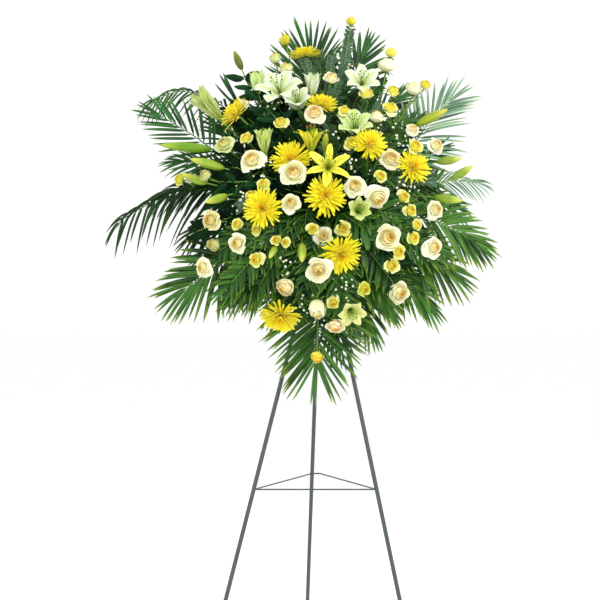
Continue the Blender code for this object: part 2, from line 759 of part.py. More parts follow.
def build_stand(cutters):
    """Three legs cut flat on the floor, and three brace wires between them."""
    lines = {
        "leg_left": leg_line(-LEFT_SPREAD, -FRONT_REACH),
        "leg_right": leg_line(RIGHT_SPREAD, -FRONT_REACH),
        "leg_rear": leg_line(REAR_SHIFT, REAR_REACH),
    }
    floor = box_object("floor_cutter", (-0.6, -0.6, -0.1), (0.6, 0.6, 0.0))
    move_to_cutters(floor, cutters)
    legs = []
    for name, line in lines.items():
        along = unit(line[1] - line[0])
        top = leg_point(line, APEX[2] - LEG_TOP_DROP)
        leg = rod_object(name, top, line[1] + along * 0.02, LEG_RADIUS, 12)
        cut = leg.modifiers.new("flat on the floor", "BOOLEAN")
        cut.operation = "DIFFERENCE"
        cut.object = floor
        legs.append(finish_object(leg, "painted_steel"))
    corners = [leg_point(lines[name], BRACE_HEIGHT) for name in ("leg_left", "leg_right", "leg_rear")]
    left, right, rear = corners
    bend = rear + np.array((BRACE_BEND, 0.0, 0.0))
    for name, route in (
        ("brace_front", [left, right]),
        ("brace_left", [left, rear]),
        ("brace_right", [right, bend, rear]),
    ):
        first = route[0] + unit(route[1] - route[0]) * BRACE_INSET
        last = route[-1] + unit(route[-2] - route[-1]) * BRACE_INSET
        finish_object(wire_object(name, [first, *route[1:-1], last], BRACE_RADIUS), "painted_steel")
    return legs, lines


def move_to_cutters(obj, cutters):
    """Makes an object a hidden cutter."""
    bpy.data.collections["standing_spray"].objects.unlink(obj)
    cutters.objects.link(obj)
    obj.hide_render = True
    obj.display_type = "WIRE"


def build_bracket(tilt, cutters, lines):
    """Head block with a socket for each leg, and the strip that rises from it behind the tray."""
    block = box_object("head_bracket", BLOCK_LOW, BLOCK_HIGH)
    strip = box_object(
        "strip",
        (-STRIP_HALF_WIDTH, BLOCK_LOW[1] + STRIP_THICKNESS, BLOCK_HIGH[2] - STRIP_THICKNESS),
        (STRIP_HALF_WIDTH, STRIP_TOP, BLOCK_HIGH[2]),
    )
    bracket = join_pieces("head_bracket", [block, strip])
    to_plane = tilt.matrix_world.inverted()
    for name, line in lines.items():
        start = to_plane @ Vector(leg_point(line, APEX[2] - LEG_TOP_DROP + GAP * 2))
        end = to_plane @ Vector(leg_point(line, APEX[2] - SOCKET_DROP))
        socket = rod_object(name + "_socket", start, end, LEG_RADIUS + GAP, 12)
        move_to_cutters(socket, cutters)
        socket.parent = tilt
        cut = bracket.modifiers.new("socket", "BOOLEAN")
        cut.operation = "DIFFERENCE"
        cut.object = socket
    return finish_object(bracket, "painted_steel", tilt)


def foam_box():
    """Low and high corner of the foam block."""
    s, t = FOAM_CENTRE
    low = (s - FOAM_WIDTH / 2, t - FOAM_HEIGHT / 2, FOAM_BACK)
    high = (s + FOAM_WIDTH / 2, t + FOAM_HEIGHT / 2, FOAM_FRONT)
    return np.array(low), np.array(high)


def side_hole(side, along):
    """Where a frond's stalk enters a side face of the foam, and the way out."""
    low, high = foam_box()
    middle = (low[2] + high[2]) / 2
    return {
        "left": (np.array((low[0], along + FOAM_CENTRE[1], middle)), np.array((-1.0, 0.0, 0.0))),
        "right": (np.array((high[0], along + FOAM_CENTRE[1], middle)), np.array((1.0, 0.0, 0.0))),
        "top": (np.array((along + FOAM_CENTRE[0], high[1], middle)), np.array((0.0, 1.0, 0.0))),
        "bottom": (np.array((along + FOAM_CENTRE[0], low[1], middle)), np.array((0.0, -1.0, 0.0))),
    }[side]


def front_holes():
    """The grid of places where flower stalks may enter the front of the foam."""
    steps = np.arange(HOLE_ROWS) - (HOLE_ROWS - 1) / 2
    return [
        np.array((FOAM_CENTRE[0] + HOLE_SPACING[0] * i, FOAM_CENTRE[1] + HOLE_SPACING[1] * j, FOAM_FRONT))
        for j in steps
        for i in steps
    ]


def choose_holes(middles):
    """Gives each bunch the free front hole nearest its own direction, the outermost bunches first."""
    free = front_holes()
    chosen = {}
    for name in sorted(middles, key=lambda key: (-np.linalg.norm(middles[key][:2]), key)):
        wanted = np.array(FOAM_CENTRE) + 0.27 * (middles[name][:2] - np.array(FOAM_CENTRE))
        best = min(range(len(free)), key=lambda i: float(np.linalg.norm(free[i][:2] - wanted)))
        chosen[name] = free.pop(best)
    return chosen


def free_holes(holes):
    """The places of the front grid that no stalk has taken yet, from left to right."""
    taken = np.array([place for place, _, _ in holes])
    half = HOLE_SPACING[0] / 2
    free = [place for place in front_holes() if np.linalg.norm(taken - place, axis=1).min() > half]
    return sorted(free, key=lambda place: place[0])


def build_foam(tilt, cutters):
    """Foam block, the tray behind it and the tape round both, before the holes."""
    low, high = foam_box()
    foam = finish_object(box_object("foam_block", low, high), "wet_foam", tilt)
    wall = TRAY_WALL + GAP
    tray = hollowed_box(
        "foam_tray",
        ((low[0] - wall, low[1] - wall, TRAY_BACK), (high[0] + wall, high[1] + wall, FOAM_BACK + TRAY_RIM)),
        ((low[0] - GAP, low[1] - GAP, TRAY_BACK + TRAY_WALL), (high[0] + GAP, high[1] + GAP, high[2])),
        tilt,
        cutters,
    )
    half = TAPE_HEIGHT / 2
    inside = ((low[0] - wall - GAP, FOAM_CENTRE[1] - 2 * half, FOAM_BACK - 0.01),
              (high[0] + wall + GAP, FOAM_CENTRE[1] + 2 * half, high[2] + GAP))
    thick = TAPE_THICKNESS
    tape = hollowed_box(
        "tape_band",
        ((inside[0][0] - thick, FOAM_CENTRE[1] - half, FOAM_BACK + 0.002),
         (inside[1][0] + thick, FOAM_CENTRE[1] + half, inside[1][2] + thick)),
        inside,
        tilt,
        cutters,
    )
    return foam, finish_object(tray, "tray_plastic", tilt), finish_object(tape, "tape", tilt)


def hollowed_box(name, outside, inside, tilt, cutters):
    """A box with another cut out of it."""
    obj = box_object(name, *outside)
    cutter = box_object(name + "_inside", *inside)
    move_to_cutters(cutter, cutters)
    cutter.parent = tilt
    cut = obj.modifiers.new("inside", "BOOLEAN")
    cut.operation = "DIFFERENCE"
    cut.object = cutter
    return obj


def cut_holes(foam, tilt, cutters, holes):
    """One plain hole in the foam for each stalk."""
    pool = bpy.data.collections.new("foam_holes")
    cutters.children.link(pool)
    for number, (place, way_out, radius) in enumerate(holes):
        across_corners = (radius + HOLE_CLEARANCE) / math.cos(math.pi / HOLE_SIDES)
        bottom = place - way_out * HOLE_DEPTH
        mouth = place + way_out * HOLE_DEPTH / 2
        cutter = rod_object(f"hole_{number:02d}", bottom, mouth, across_corners, HOLE_SIDES)
        move_to_cutters(cutter, pool)
        cutter.parent = tilt
    cut = foam.modifiers.new("holes", "BOOLEAN")
    cut.operation = "DIFFERENCE"
    cut.operand_type = "COLLECTION"
    cut.collection = pool


def head_rows(kind, row, rng):
    """Rows of a head of unit half width, and how far along its axis its stem ends."""
    closed = row[4] if kind == "lily" else 0.0
    if kind == "mum":
        return mum_rows(rng), -0.20
    if kind == "rose":
        return rose_rows(rng), -0.66
    if kind == "spray":
        return spray_rose_rows(rng), -0.72
    if kind == "lily":
        return lily_rows(closed), -0.60 - 0.5 * closed
    return bud_rows(), -0.5


def placed_head(kind, key, row, rng):
    """Rows of one flower head at its place, the point that its stem ends in, and its rotation."""
    place = head_place(row)
    axis = unit(row[4]) if kind == "bud" else head_axis(key, place)
    half = row[2] if kind == "bud" else row[2] / 2
    rows, foot = head_rows(kind, row, rng)
    turned = turn_to(axis, rng.uniform(0.0, math.pi))
    placed = [place + (points * half) @ turned.T for points in rows]
    return placed, place + axis * half * foot, turned


def stem_rings(route, radii, turned, columns):
    """Three-cornered rings along a stem, from its root to the head, with no twist against the head."""
    tangent = np.gradient(route, axis=0)
    tangent /= np.linalg.norm(tangent, axis=1)[:, None]
    corner = np.floor(np.arange(columns) * 3 / columns)
    angle = 2.0 * math.pi * corner / 3
    x, y = turned[:, 0], turned[:, 1]
    rings = []
    for place, along, radius in zip(route[::-1], tangent[::-1], radii[::-1]):
        x = unit(x - along * (x @ along))
        y = np.cross(along, x)
        rings.append(place + radius * (np.cos(angle)[:, None] * x + np.sin(angle)[:, None] * y))
    return rings[::-1]


def stem_routes(start, way_out, foot, axis):
    """Routes from a stalk's top to a head's foot: the plain curve, then ones that bow further aside."""
    reach = float(np.linalg.norm(foot - start))
    side = unit(np.cross(foot - start, (0.3, 0.2, 1.0)))
    other = unit(np.cross(foot - start, side))
    rise = RISE_SHARE * reach * way_out
    yield bezier(start, start + rise, foot - axis * APPROACH_SHARE * reach, foot, 3)
    for bow in BOWS:
        for turn in range(8):
            angle = turn * math.pi / 4
            aside = (side * math.cos(angle) + other * math.sin(angle)) * bow * reach
            meeting = foot - axis * BOWED_APPROACH * reach + 0.8 * aside
            yield bezier(start, start + rise + aside, meeting, foot, 4)


def route_clear(route, radius, owner, world):
    """Whether a stem on this route keeps clear of every head and stem of other bunches."""
    run = float(np.linalg.norm(np.diff(route, axis=0), axis=1).sum())
    fine = smooth_steps(route, int(run / TEST_STEP) + 2)
    from_head = np.linalg.norm(fine - route[-1], axis=1)
    return not world.near(fine[from_head > TEST_STEP], radius + ROOM, owner)


BLOOM_MATERIAL = {
    "mum": "mum_petal",
    "rose": "cream_petal",
    "spray": "yellow_petal",
    "lily": "lily_petal",
    "bud": "bud_skin",
}


def bloom_bunches():
    """Every bunch as (name, kind, rows), where rows maps a head's key to its table row."""
    for name, row in MUMS.items():
        yield name, "mum", {name: row}
    for table, kind in ((CREAM_ROSES, "rose"), (SPRAY_ROSES, "spray"), (LILIES, "lily"), (LILY_BUDS, "bud")):
        for name, rows in table.items():
            yield name, kind, {f"{name}.{key}": row for key, row in rows.items()}


def all_heads():
    """Every flower head at its place, by key."""
    rng = np.random.default_rng(5)
    heads = {}
    for _, kind, rows in bloom_bunches():
        for key, row in rows.items():
            heads[key] = placed_head(kind, key, row, rng)
    return heads


def stalk_ends(hole, way_out):
    """Root of a stalk at the bottom of its hole, and its top where a bunch branches."""
    return hole - way_out * (HOLE_DEPTH - GAP), hole + way_out * STALK_REACH


def build_blooms(tilt, world):
    """Heads first, then the stems that find their way between them. The stems of a bunch branch from the first,
    which goes on down into the foam as the bunch's stalk."""
    bunches = list(bloom_bunches())
    heads = all_heads()
    for key, head in heads.items():
        world.add(*closed_rows(head[0]), key)
    middles = {name: np.mean([head_place(row) for row in rows.values()], axis=0) for name, _, rows in bunches}
    chosen = choose_holes(middles)
    way_out = np.array((0.0, 0.0, 1.0))
    holes = []
    for name, kind, rows in bunches:
        holes.append((chosen[name], way_out, STALK_RADIUS if len(rows) > 1 else STEM_RADIUS[kind]))
    for (name, _, _), (hole, _, thick) in zip(bunches, holes):
        stalk = np.array([hole + way_out * ROOM, hole + way_out * STALK_REACH])
        rings = stem_rings(stalk, [thick, thick], np.eye(3), 3)
        world.add(*closed_rows([stalk[:1], *rings, stalk[1:]]), name)
    for (name, kind, rows), (hole, _, thick) in zip(bunches, holes):
        root, top = stalk_ends(hole, way_out)
        pieces = []
        for number, key in enumerate(rows):
            head, foot, turned = heads[key]
            radius = STEM_RADIUS[kind]
            start = top - way_out * BRANCH_SINK * (number > 0)
            routes = stem_routes(start, way_out, foot, turned[:, 2])
            route = next(r for r in routes if route_clear(r, radius, {key, name}, world))
            radii = np.full(len(route), radius)
            if number == 0:
                route = np.vstack([root, route])
                radii = np.concatenate([[thick, thick], radii[1:]])
            columns = max(len(row) for row in head)
            rings = stem_rings(route, radii, turned, columns)
            points, faces = closed_rows([route[:1], *rings, *head[1:]])
            world.add(points, faces, name)
            pieces.append(mesh_object(key, points, faces))
        finish_object(join_pieces(name, pieces), BLOOM_MATERIAL[kind], tilt)
    return holes


def frond_frames(path):
    """Tangent, side and ridge direction at each point of a stem whose ridge faces the front.

    Where it runs straight to the front, it takes the side of its first slanted point."""
    tangent = np.gradient(path, axis=0)
    tangent /= np.linalg.norm(tangent, axis=1)[:, None]
    side = np.cross(tangent, (0.0, 0.0, 1.0))
    slanted = np.linalg.norm(side, axis=1) > 0.3
    side[~slanted] = side[np.argmax(slanted)]
    side -= tangent * np.einsum("ij,ij->i", side, tangent)[:, None]
    side /= np.linalg.norm(side, axis=1)[:, None]
    return tangent, side, np.cross(side, tangent)


def leaflet(root, ahead, side, ridge, length, width, droop, thick):
    """Middle section and tip of one leaflet: three points at 45 % of its length, and the point it ends in."""
    along = unit(ahead)
    across = unit(np.cross(ridge, along)) * side
    up = unit(np.cross(along, across)) * side
    middle = root + along * 0.45 * length + DOWN * droop * 0.2 * length
    tip = root + along * length + DOWN * droop * length
    return [middle - across * width / 2, middle + across * width / 2, middle + up * thick, tip]


def build_frond(name, row, tilt, world):
    """A frond: a rachis from its hole in a side of the foam through its knees, with two rows of leaflets."""
    face, along, knees, length, pairs, bare = row
    hole, way_out = side_hole(face, along)
    shares = leafy_shares(bare, pairs)
    shares = [0.0, 0.10, 0.5 * bare, *shares, 1.0]
    path = smooth_path([hole, hole + way_out * HOLE_DEPTH, *map(np.array, knees)], shares)
    path = np.vstack([hole - way_out * (HOLE_DEPTH - GAP), path])
    points, faces = leafy_stem(name, path, 4, FROND_THICK, length, LEAFLET_WIDTH, world)
    world.add(points, faces, name)
    finish_object(mesh_object(name, points, faces), "palm_leaf", tilt)
    return hole, way_out, FROND_HOLE_RADIUS


def leafy_shares(bare, pairs):
    """Shares of a stem's length where the root of each pair of leaves starts and ends."""
    pitch = (1.0 - bare) / (pairs + 0.6)
    starts = bare + pitch * np.arange(pairs)
    return [u for start in starts for u in (start, start + pitch * FROND_ROOT_SHARE)]


def leafy_stem(name, path, first_leafy, thick, length, width, world):
    """A leafy stem in one skin: a three-sided stem whose side faces are drawn out into leaves.

    Every other step has a pair, from the first leafy one on. A leaf that would cross something else is
    bent, shortened or, at last, left off."""
    tangent, side, ridge = frond_frames(path)
    radii = thick * np.linspace(1.0, 0.45, len(path))[:, None]
    back = path - ridge * 0.5 * radii
    rings = np.stack([path + ridge * radii, back + side * radii, back - side * radii], 1)
    points = [tuple(p) for p in rings[:-1].reshape(-1, 3)]
    faces = [(0, 2, 1)]
    last = len(path) - 2
    pairs = (last - first_leafy + 1) // 2
    own = Surroundings()
    for k in range(last):
        top, right, left = 3 * k, 3 * k + 1, 3 * k + 2
        faces += [(right, left, left + 3), (right, left + 3, right + 3)]
        leafy = k >= first_leafy and (k - first_leafy) % 2 == 0
        share = (k - first_leafy) / 2 / max(1, pairs - 1)
        for sign, edge in ((1, right), (-1, left)):
            quad = (top, edge, edge + 3, top + 3)
            blade = None
            if leafy:
                frame = (tangent[k], side[k] * sign, ridge[k])
                corners = [points[i] for i in quad]
                blade = free_leaflet(name, frame, sign, share, length, width, corners, world, own)
            if blade is None:
                sides = [(quad[0], quad[1], quad[2]), (quad[0], quad[2], quad[3])]
            else:
                sides = leaflet_faces(quad, len(points))
                points += [tuple(p) for p in blade]
                own.add(blade, LEAFLET_END, name)
            faces += sides if sign > 0 else [f[::-1] for f in sides]
    a, b, c, n = 3 * last, 3 * last + 1, 3 * last + 2, len(points)
    points.append(tuple(path[-1] + tangent[-1] * 0.25 * length + DOWN * 0.12 * length))
    faces += [(a, b, n), (b, c, n), (c, a, n)]
    return points, faces


LEAFLET_END = [(2, 1, 0), (2, 0, 3), (0, 1, 3), (1, 2, 3)]


def leaflet_faces(quad, n):
    """Triangles that draw a side face out through its middle section, points n to n + 2, to its tip."""
    r0, e0, e1, r1 = quad
    a, b, c, tip = n, n + 1, n + 2, n + 3
    return [
        (r0, e0, a), (r0, a, c), (e0, e1, b), (e0, b, a), (e1, r1, c), (e1, c, b), (r1, r0, c),
        (c, a, tip), (a, b, tip), (b, c, tip),
    ]


def turned_in(points, faces):
    """Whether a closed surface is inside out somewhere: it winds other than once round a point just behind a
    face's middle. The turns are the sum of the solid angles of all faces, seen from there."""
    corners = np.asarray(points)[np.asarray(faces)]
    normal = np.cross(corners[:, 1] - corners[:, 0], corners[:, 2] - corners[:, 0])
    behind = corners.mean(axis=1) - BEHIND * normal / np.linalg.norm(normal, axis=1)[:, None]
    seen = corners[None] - behind[:, None, None]
    away = np.linalg.norm(seen, axis=-1)
    a, b, c = seen[:, :, 0], seen[:, :, 1], seen[:, :, 2]
    under = away.prod(-1) + (a * b).sum(-1) * away[..., 2] + (b * c).sum(-1) * away[..., 0]
    under += (c * a).sum(-1) * away[..., 1]
    turns = np.arctan2((a * np.cross(b, c)).sum(-1), under).sum(1) / (2.0 * math.pi)
    return bool((np.round(turns) != 1).any())


def free_leaflet(name, frame, sign, share, length, width, corners, world, own):
    """The first leaf of several bends and lengths that crosses nothing, itself included, or None."""
    tangent, side, ridge = frame
    root = np.mean(corners, axis=0)
    spread = math.radians(58 - 34 * share)
    fullness = (0.62 + 0.38 * math.sin(math.pi * min(1.0, share * 1.6 + 0.18))) * (1.0 - 0.35 * share**2)
    droop = 0.16 + 0.10 * share
    for scale in (1.0, 0.85, 0.70, 0.50):
        for out in (0.10, -0.06, 0.26, -0.22, 0.42, -0.38):
            ahead = tangent * math.cos(spread) + side * math.sin(spread) + ridge * out
            size = length * fullness * scale
            blade = leaflet(root, ahead, sign, ridge, size, width, droop, LEAFLET_RIDGE)
            closed = leaflet_faces((0, 1, 2, 3), 4) + [(2, 1, 0), (3, 2, 0)]
            if turned_in(corners + blade, closed if sign > 0 else [f[::-1] for f in closed]):
                continue
            wide = width + 2 * ROOM
            swollen = leaflet(root, ahead, sign, ridge, size + ROOM, wide, droop, LEAFLET_RIDGE + ROOM)
            swollen[0] = swollen[0] - ridge * ROOM
            swollen[1] = swollen[1] - ridge * ROOM
            faces = leaflet_faces((0, 1, 2, 3), 4)
            if own.crossed(corners + blade, faces, ()) or world.crossed(corners + swollen, faces, {name}):
                continue
            return blade
    return None


def dome_point(s, t, lift):
    """A point at a height over the dome of flower heads."""
    return np.array((s, t, dome_height(s, t) + lift))


def build_leafy_stems(name, stems, hole, leaf, material, tilt, world):
    """One bunch of foliage: leafy stems that branch from one stalk and run out under the flower heads."""
    length, width, pairs = leaf
    way_out = np.array((0.0, 0.0, 1.0))
    root, top = stalk_ends(hole, way_out)
    shares = leafy_shares(FOLIAGE_BARE, pairs)
    pieces = []
    for key, (low, high, deep) in stems.items():
        paths = (smooth_path(knees, [0.0, 0.2, *shares, 1.0]) for knees in sunk_paths(top, low, high, deep))
        path = next(p for p in paths if route_clear(p, FOLIAGE_THICK, {name}, world))
        path = np.vstack([top - way_out * BRANCH_SINK if pieces else root, path])
        points, faces = leafy_stem(name, path, 3, FOLIAGE_THICK, length, width, world)
        world.add(points, faces, name)
        pieces.append(mesh_object(f"{name}_{key}", points, faces))
    finish_object(join_pieces(name, pieces), material, tilt)
    return hole, way_out, STALK_RADIUS


def sunk_paths(top, low, high, deep):
    """Routes of a leafy stem from the stalk's top: as the table gives it, then sunk deeper and moved aside."""
    across = unit((low[1] - high[1], high[0] - low[0], 0.0))
    for sink in (0.0, 0.012, 0.024, 0.036):
        for aside in (0.0, 0.012, -0.012, 0.024, -0.024, 0.036, -0.036, 0.048, -0.048):
            start = dome_point(*low, -deep - sink) + across * aside
            end = dome_point(*high, -deep) + across * aside
            middle = dome_point(*np.mean([low, high], axis=0), -deep - sink) + across * aside
            for rise in stem_routes(top, np.array((0.0, 0.0, 1.0)), start, unit(middle - start)):
                yield [*rise, middle, end]


def floret(route, tip, root_radius):
    """A stem along a route that ends in a tiny eight-sided floret."""
    toward = unit(tip - route[-1])
    turned = turn_to(toward)
    radii = np.full(len(route), STEM_RADIUS["floret"])
    radii[0] = root_radius
    if len(route) > 2:
        radii[1] = root_radius
    angle = 2.0 * math.pi * np.arange(4) / 4
    head = [tip + ring(FLORET_RADIUS, 0.0, angle) @ turned.T, (tip + toward * FLORET_RADIUS * 0.5)[None]]
    return closed_rows([route[:1], *stem_rings(route, radii, turned, 4), *head])


def build_babys_breath(name, hole, tilt, world):
    """Tiny florets on thin stems: each sprig's stem ends in a floret and carries more a little lower down."""
    rng = np.random.default_rng(9)
    way_out = np.array((0.0, 0.0, 1.0))
    root, top = stalk_ends(hole, way_out)
    sit = 0.6 * FLORET_RADIUS
    pieces = []
    for s, t in FLORET_SPRIGS.values():
        end = dome_point(s, t, FLORET_LIFT)
        axis = head_axis(name, end)
        foot = end - axis * sit
        routes = stem_routes(top, way_out, foot, axis)
        rise = next(r for r in routes if route_clear(r, STEM_RADIUS["floret"], {name}, world))
        start = top - way_out * BRANCH_SINK if pieces else root
        thick = STEM_RADIUS["floret"] if pieces else STALK_RADIUS
        points, faces = floret(np.vstack([start, rise]), end, thick)
        world.add(points, faces, name)
        pieces.append(mesh_object(name, points, faces))
        fork = foot + unit(rise[-2] - foot) * FLORET_REACH
        turned = turn_to(axis, rng.uniform(0.0, math.pi))
        made = 1
        for number in range(3 * FLORETS):
            turn = 2.0 * math.pi * number * FLORETS / (3 * FLORETS + 1)
            tip = end + turned @ np.array((math.cos(turn), math.sin(turn), -0.2)) * FLORET_REACH * 0.8
            points, faces = floret(np.array([fork, tip - unit(tip - fork) * sit]), tip, STEM_RADIUS["floret"])
            if made < FLORETS and not world.crossed(points, faces, {name}):
                made += 1
                world.add(points, faces, name)
                pieces.append(mesh_object(name, points, faces))
    finish_object(join_pieces(name, pieces), "white_floret", tilt)
    return hole, way_out, STALK_RADIUS


def clear_scene():
    """Removes the startup scene's objects."""
    for obj in list(bpy.data.objects):
        bpy.data.objects.remove(obj)


def main():
    clear_scene()
    parts = bpy.data.collections.new("standing_spray")
    bpy.context.scene.collection.children.link(parts)
    cutters = bpy.data.collections.new("cutters")
    cutters.hide_render = True
    bpy.context.scene.collection.children.link(cutters)
    tilt = bpy.data.objects.new("spray_tilt", None)
    parts.objects.link(tilt)
    tilt.location = APEX
    tilt.rotation_euler = (math.pi / 2 - LEAN, 0.0, 0.0)
    bpy.context.view_layer.update()

    legs, lines = build_stand(cutters)
    world = Surroundings()
    to_plane = tilt.matrix_world.inverted()
    for leg in legs:
        points, faces = faces_of(leg)
        world.add([tuple(to_plane @ Vector(p)) for p in points], faces, leg.name)
    build_bracket(tilt, cutters, lines)
    foam, tray, _ = build_foam(tilt, cutters)
    world.add(*faces_of(foam), foam.name)
    world.add(*faces_of(tray), tray.name)
    holes = build_blooms(tilt, world)
    for name, row in FRONDS.items():
        holes.append(build_frond(name, row, tilt, world))
    left_hole, middle_hole, _, right_hole = free_holes(holes)
    holes.append(build_babys_breath("babys_breath", right_hole, tilt, world))
    for name, stems, hole, leaf, material in (
        ("variegated_foliage", VARIEGATED_STEMS, middle_hole, VARIEGATED_LEAF, "soft_leaf"),
        ("broad_leaves", BROAD_STEMS, left_hole, BROAD_LEAF, "dark_leaf"),
    ):
        holes.append(build_leafy_stems(name, stems, hole, leaf, material, tilt, world))
    cut_holes(foam, tilt, cutters, holes)


if __name__ == "__main__":
    main()
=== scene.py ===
"""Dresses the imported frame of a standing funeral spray: every bloom, leaf and rod as its own detailed piece.

Metres, where a table doesn't say millimetres. +Z is up and the front faces -Y. Flowers are laid out as in
the part's source, in the plane of the two front legs, which leans back: s runs right, t runs up along the
legs and n runs out to the front.
"""

import math

import bpy
import numpy as np
from bpy.props import FloatProperty, FloatVectorProperty, IntProperty, PointerProperty
from mathutils import Matrix, Vector


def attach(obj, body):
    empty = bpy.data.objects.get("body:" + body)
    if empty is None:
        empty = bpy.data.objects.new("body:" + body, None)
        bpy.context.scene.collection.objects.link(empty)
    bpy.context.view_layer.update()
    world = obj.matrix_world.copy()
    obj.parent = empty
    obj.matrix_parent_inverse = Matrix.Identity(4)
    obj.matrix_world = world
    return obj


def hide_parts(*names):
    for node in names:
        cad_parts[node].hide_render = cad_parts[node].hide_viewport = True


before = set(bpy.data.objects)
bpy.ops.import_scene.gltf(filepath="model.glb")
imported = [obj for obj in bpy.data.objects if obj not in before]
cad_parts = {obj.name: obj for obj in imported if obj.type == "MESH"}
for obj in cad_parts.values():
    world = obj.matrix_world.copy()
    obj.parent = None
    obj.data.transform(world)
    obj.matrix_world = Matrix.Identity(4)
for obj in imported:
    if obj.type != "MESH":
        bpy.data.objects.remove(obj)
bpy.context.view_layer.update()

bl_info = {
    "name": "Standing spray",
    "version": (1, 0, 0),
    "blender": (4, 5, 0),
    "location": "View3D > Sidebar > Spray",
    "description": "Flowers, fronds and easel of a standing funeral spray, built round its packed frame",
    "category": "Object",
}

# Stand, as in the part's source
APEX = np.array((0.0617, -0.0083, 1.160))
FRONT_REACH = 0.270
REAR_REACH = 0.320
LEFT_SPREAD = 0.295
RIGHT_SPREAD = 0.236
REAR_SHIFT = -0.038
LEG_RADIUS = 0.0055
LEG_TOP_DROP = 0.036
BRACE_HEIGHT = 0.464
BRACE_RADIUS = 0.0021
BRACE_BEND = 0.022
LEAN = math.atan2(FRONT_REACH, APEX[2])
TO_ROOM = np.array((
    (1.0, 0.0, 0.0),
    (0.0, math.sin(LEAN), -math.cos(LEAN)),
    (0.0, math.cos(LEAN), math.sin(LEAN)),
))
DOWN = np.array((0.0, -math.cos(LEAN), -math.sin(LEAN)))
FORWARD = np.array((0.0, 0.0, 1.0))

# Foam, its holes and the dome of flower heads, as in the part's source
FOAM_CENTRE = (-0.005, 0.020)
FOAM_HALF = (0.100, 0.110)
FOAM_BACK = 0.0126
FOAM_FRONT = 0.0926
HOLE_DEPTH = 0.028
HOLE_SPACING = (0.030, 0.034)
HOLE_ROWS = 6
STALK_REACH = 0.026
STALK_RADIUS = 0.0032
DOME_EDGE = 0.075
DOME_RISE = 0.185
DOME_CENTRE = (-0.010, 0.030)
DOME_REACH = (0.420, 0.560, 0.440)
GOLDEN_ANGLE = math.radians(137.508)
# How far a stalk ends above the floor of its hole, and how far behind a stalk's top its branches start
STALK_GAP = 0.0003
BRANCH_OVERLAP = 0.003
# Share of a bunch's way out from the foam's centre at which its hole is wanted
HOLE_PULL = 0.27
# How far behind the middle of the leg plane the point lies that the heads face away from
AIM_DEPTH = 0.34
# Thickness of a sepal, a floret, a leaf and a tepal
SEPAL_SKIN, FLORET_SKIN, LEAF_SKIN, TEPAL_SKIN = 0.0005, 0.0006, 0.0007, 0.0009
# Steps along a frond's rachis and along a leafy stem, and rows of points along a palm leaflet
RACHIS_STEPS, SPRIG_STEPS, LEAFLET_ROWS = 60, 24, 9
RACHIS_RADIUS = 0.0030
SPRIG_RADIUS = 0.0022
LEG_STEPS = 40
BRACE_STEPS = 24
# Sine of the angle to the front below which a point of a path takes its side from another point
LEAST_SLANT = 0.3
SHARP_ANGLE = math.radians(78)
FILLER_SEED = 77
FLORET_SEED = 21
PLAIN = "#FFFFFF"

# Flower heads by bunch, in millimetres: s, t, width across the petals and how far the head stands out of the
# dome. Then comes what only some have: the way it faces in s, t and n, where that isn't straight out of the
# dome, how far a rose has opened, how far a lily is closed, from 0, wide open, to 1, a trumpet, the share of
# its table width that a lily shows, and a tint that the petals are multiplied by
MUMS = {
    "mum_top": ((-44, 435, 92, -40, {"facing": (-0.1, 1.0, 0.35)}),),
    "mum_upper_left": ((-222, 245, 96, 5, {"facing": (-0.9, 0.7, 0.7)}),),
    "mum_upper_centre": ((-1, 262, 84, -20, {"facing": (0.1, 0.8, 0.9)}),),
    "mum_left_centre": ((-80, 106, 106, -25),),
    "mum_upper_right": ((121, 144, 90, 0),),
    "mum_right": ((235, 92, 92, 10),),
    "mum_left_low": ((-152, -27, 102, 0),),
    "mum_centre": ((7, 0, 105, 0),),
    "mum_low_centre": ((46, -146, 103, 4, {"facing": (0.25, -0.75, 0.9)}),),
    "mum_bottom": ((-106, -288, 105, 5, {"facing": (-0.15, -1.2, 0.62)}),),
}
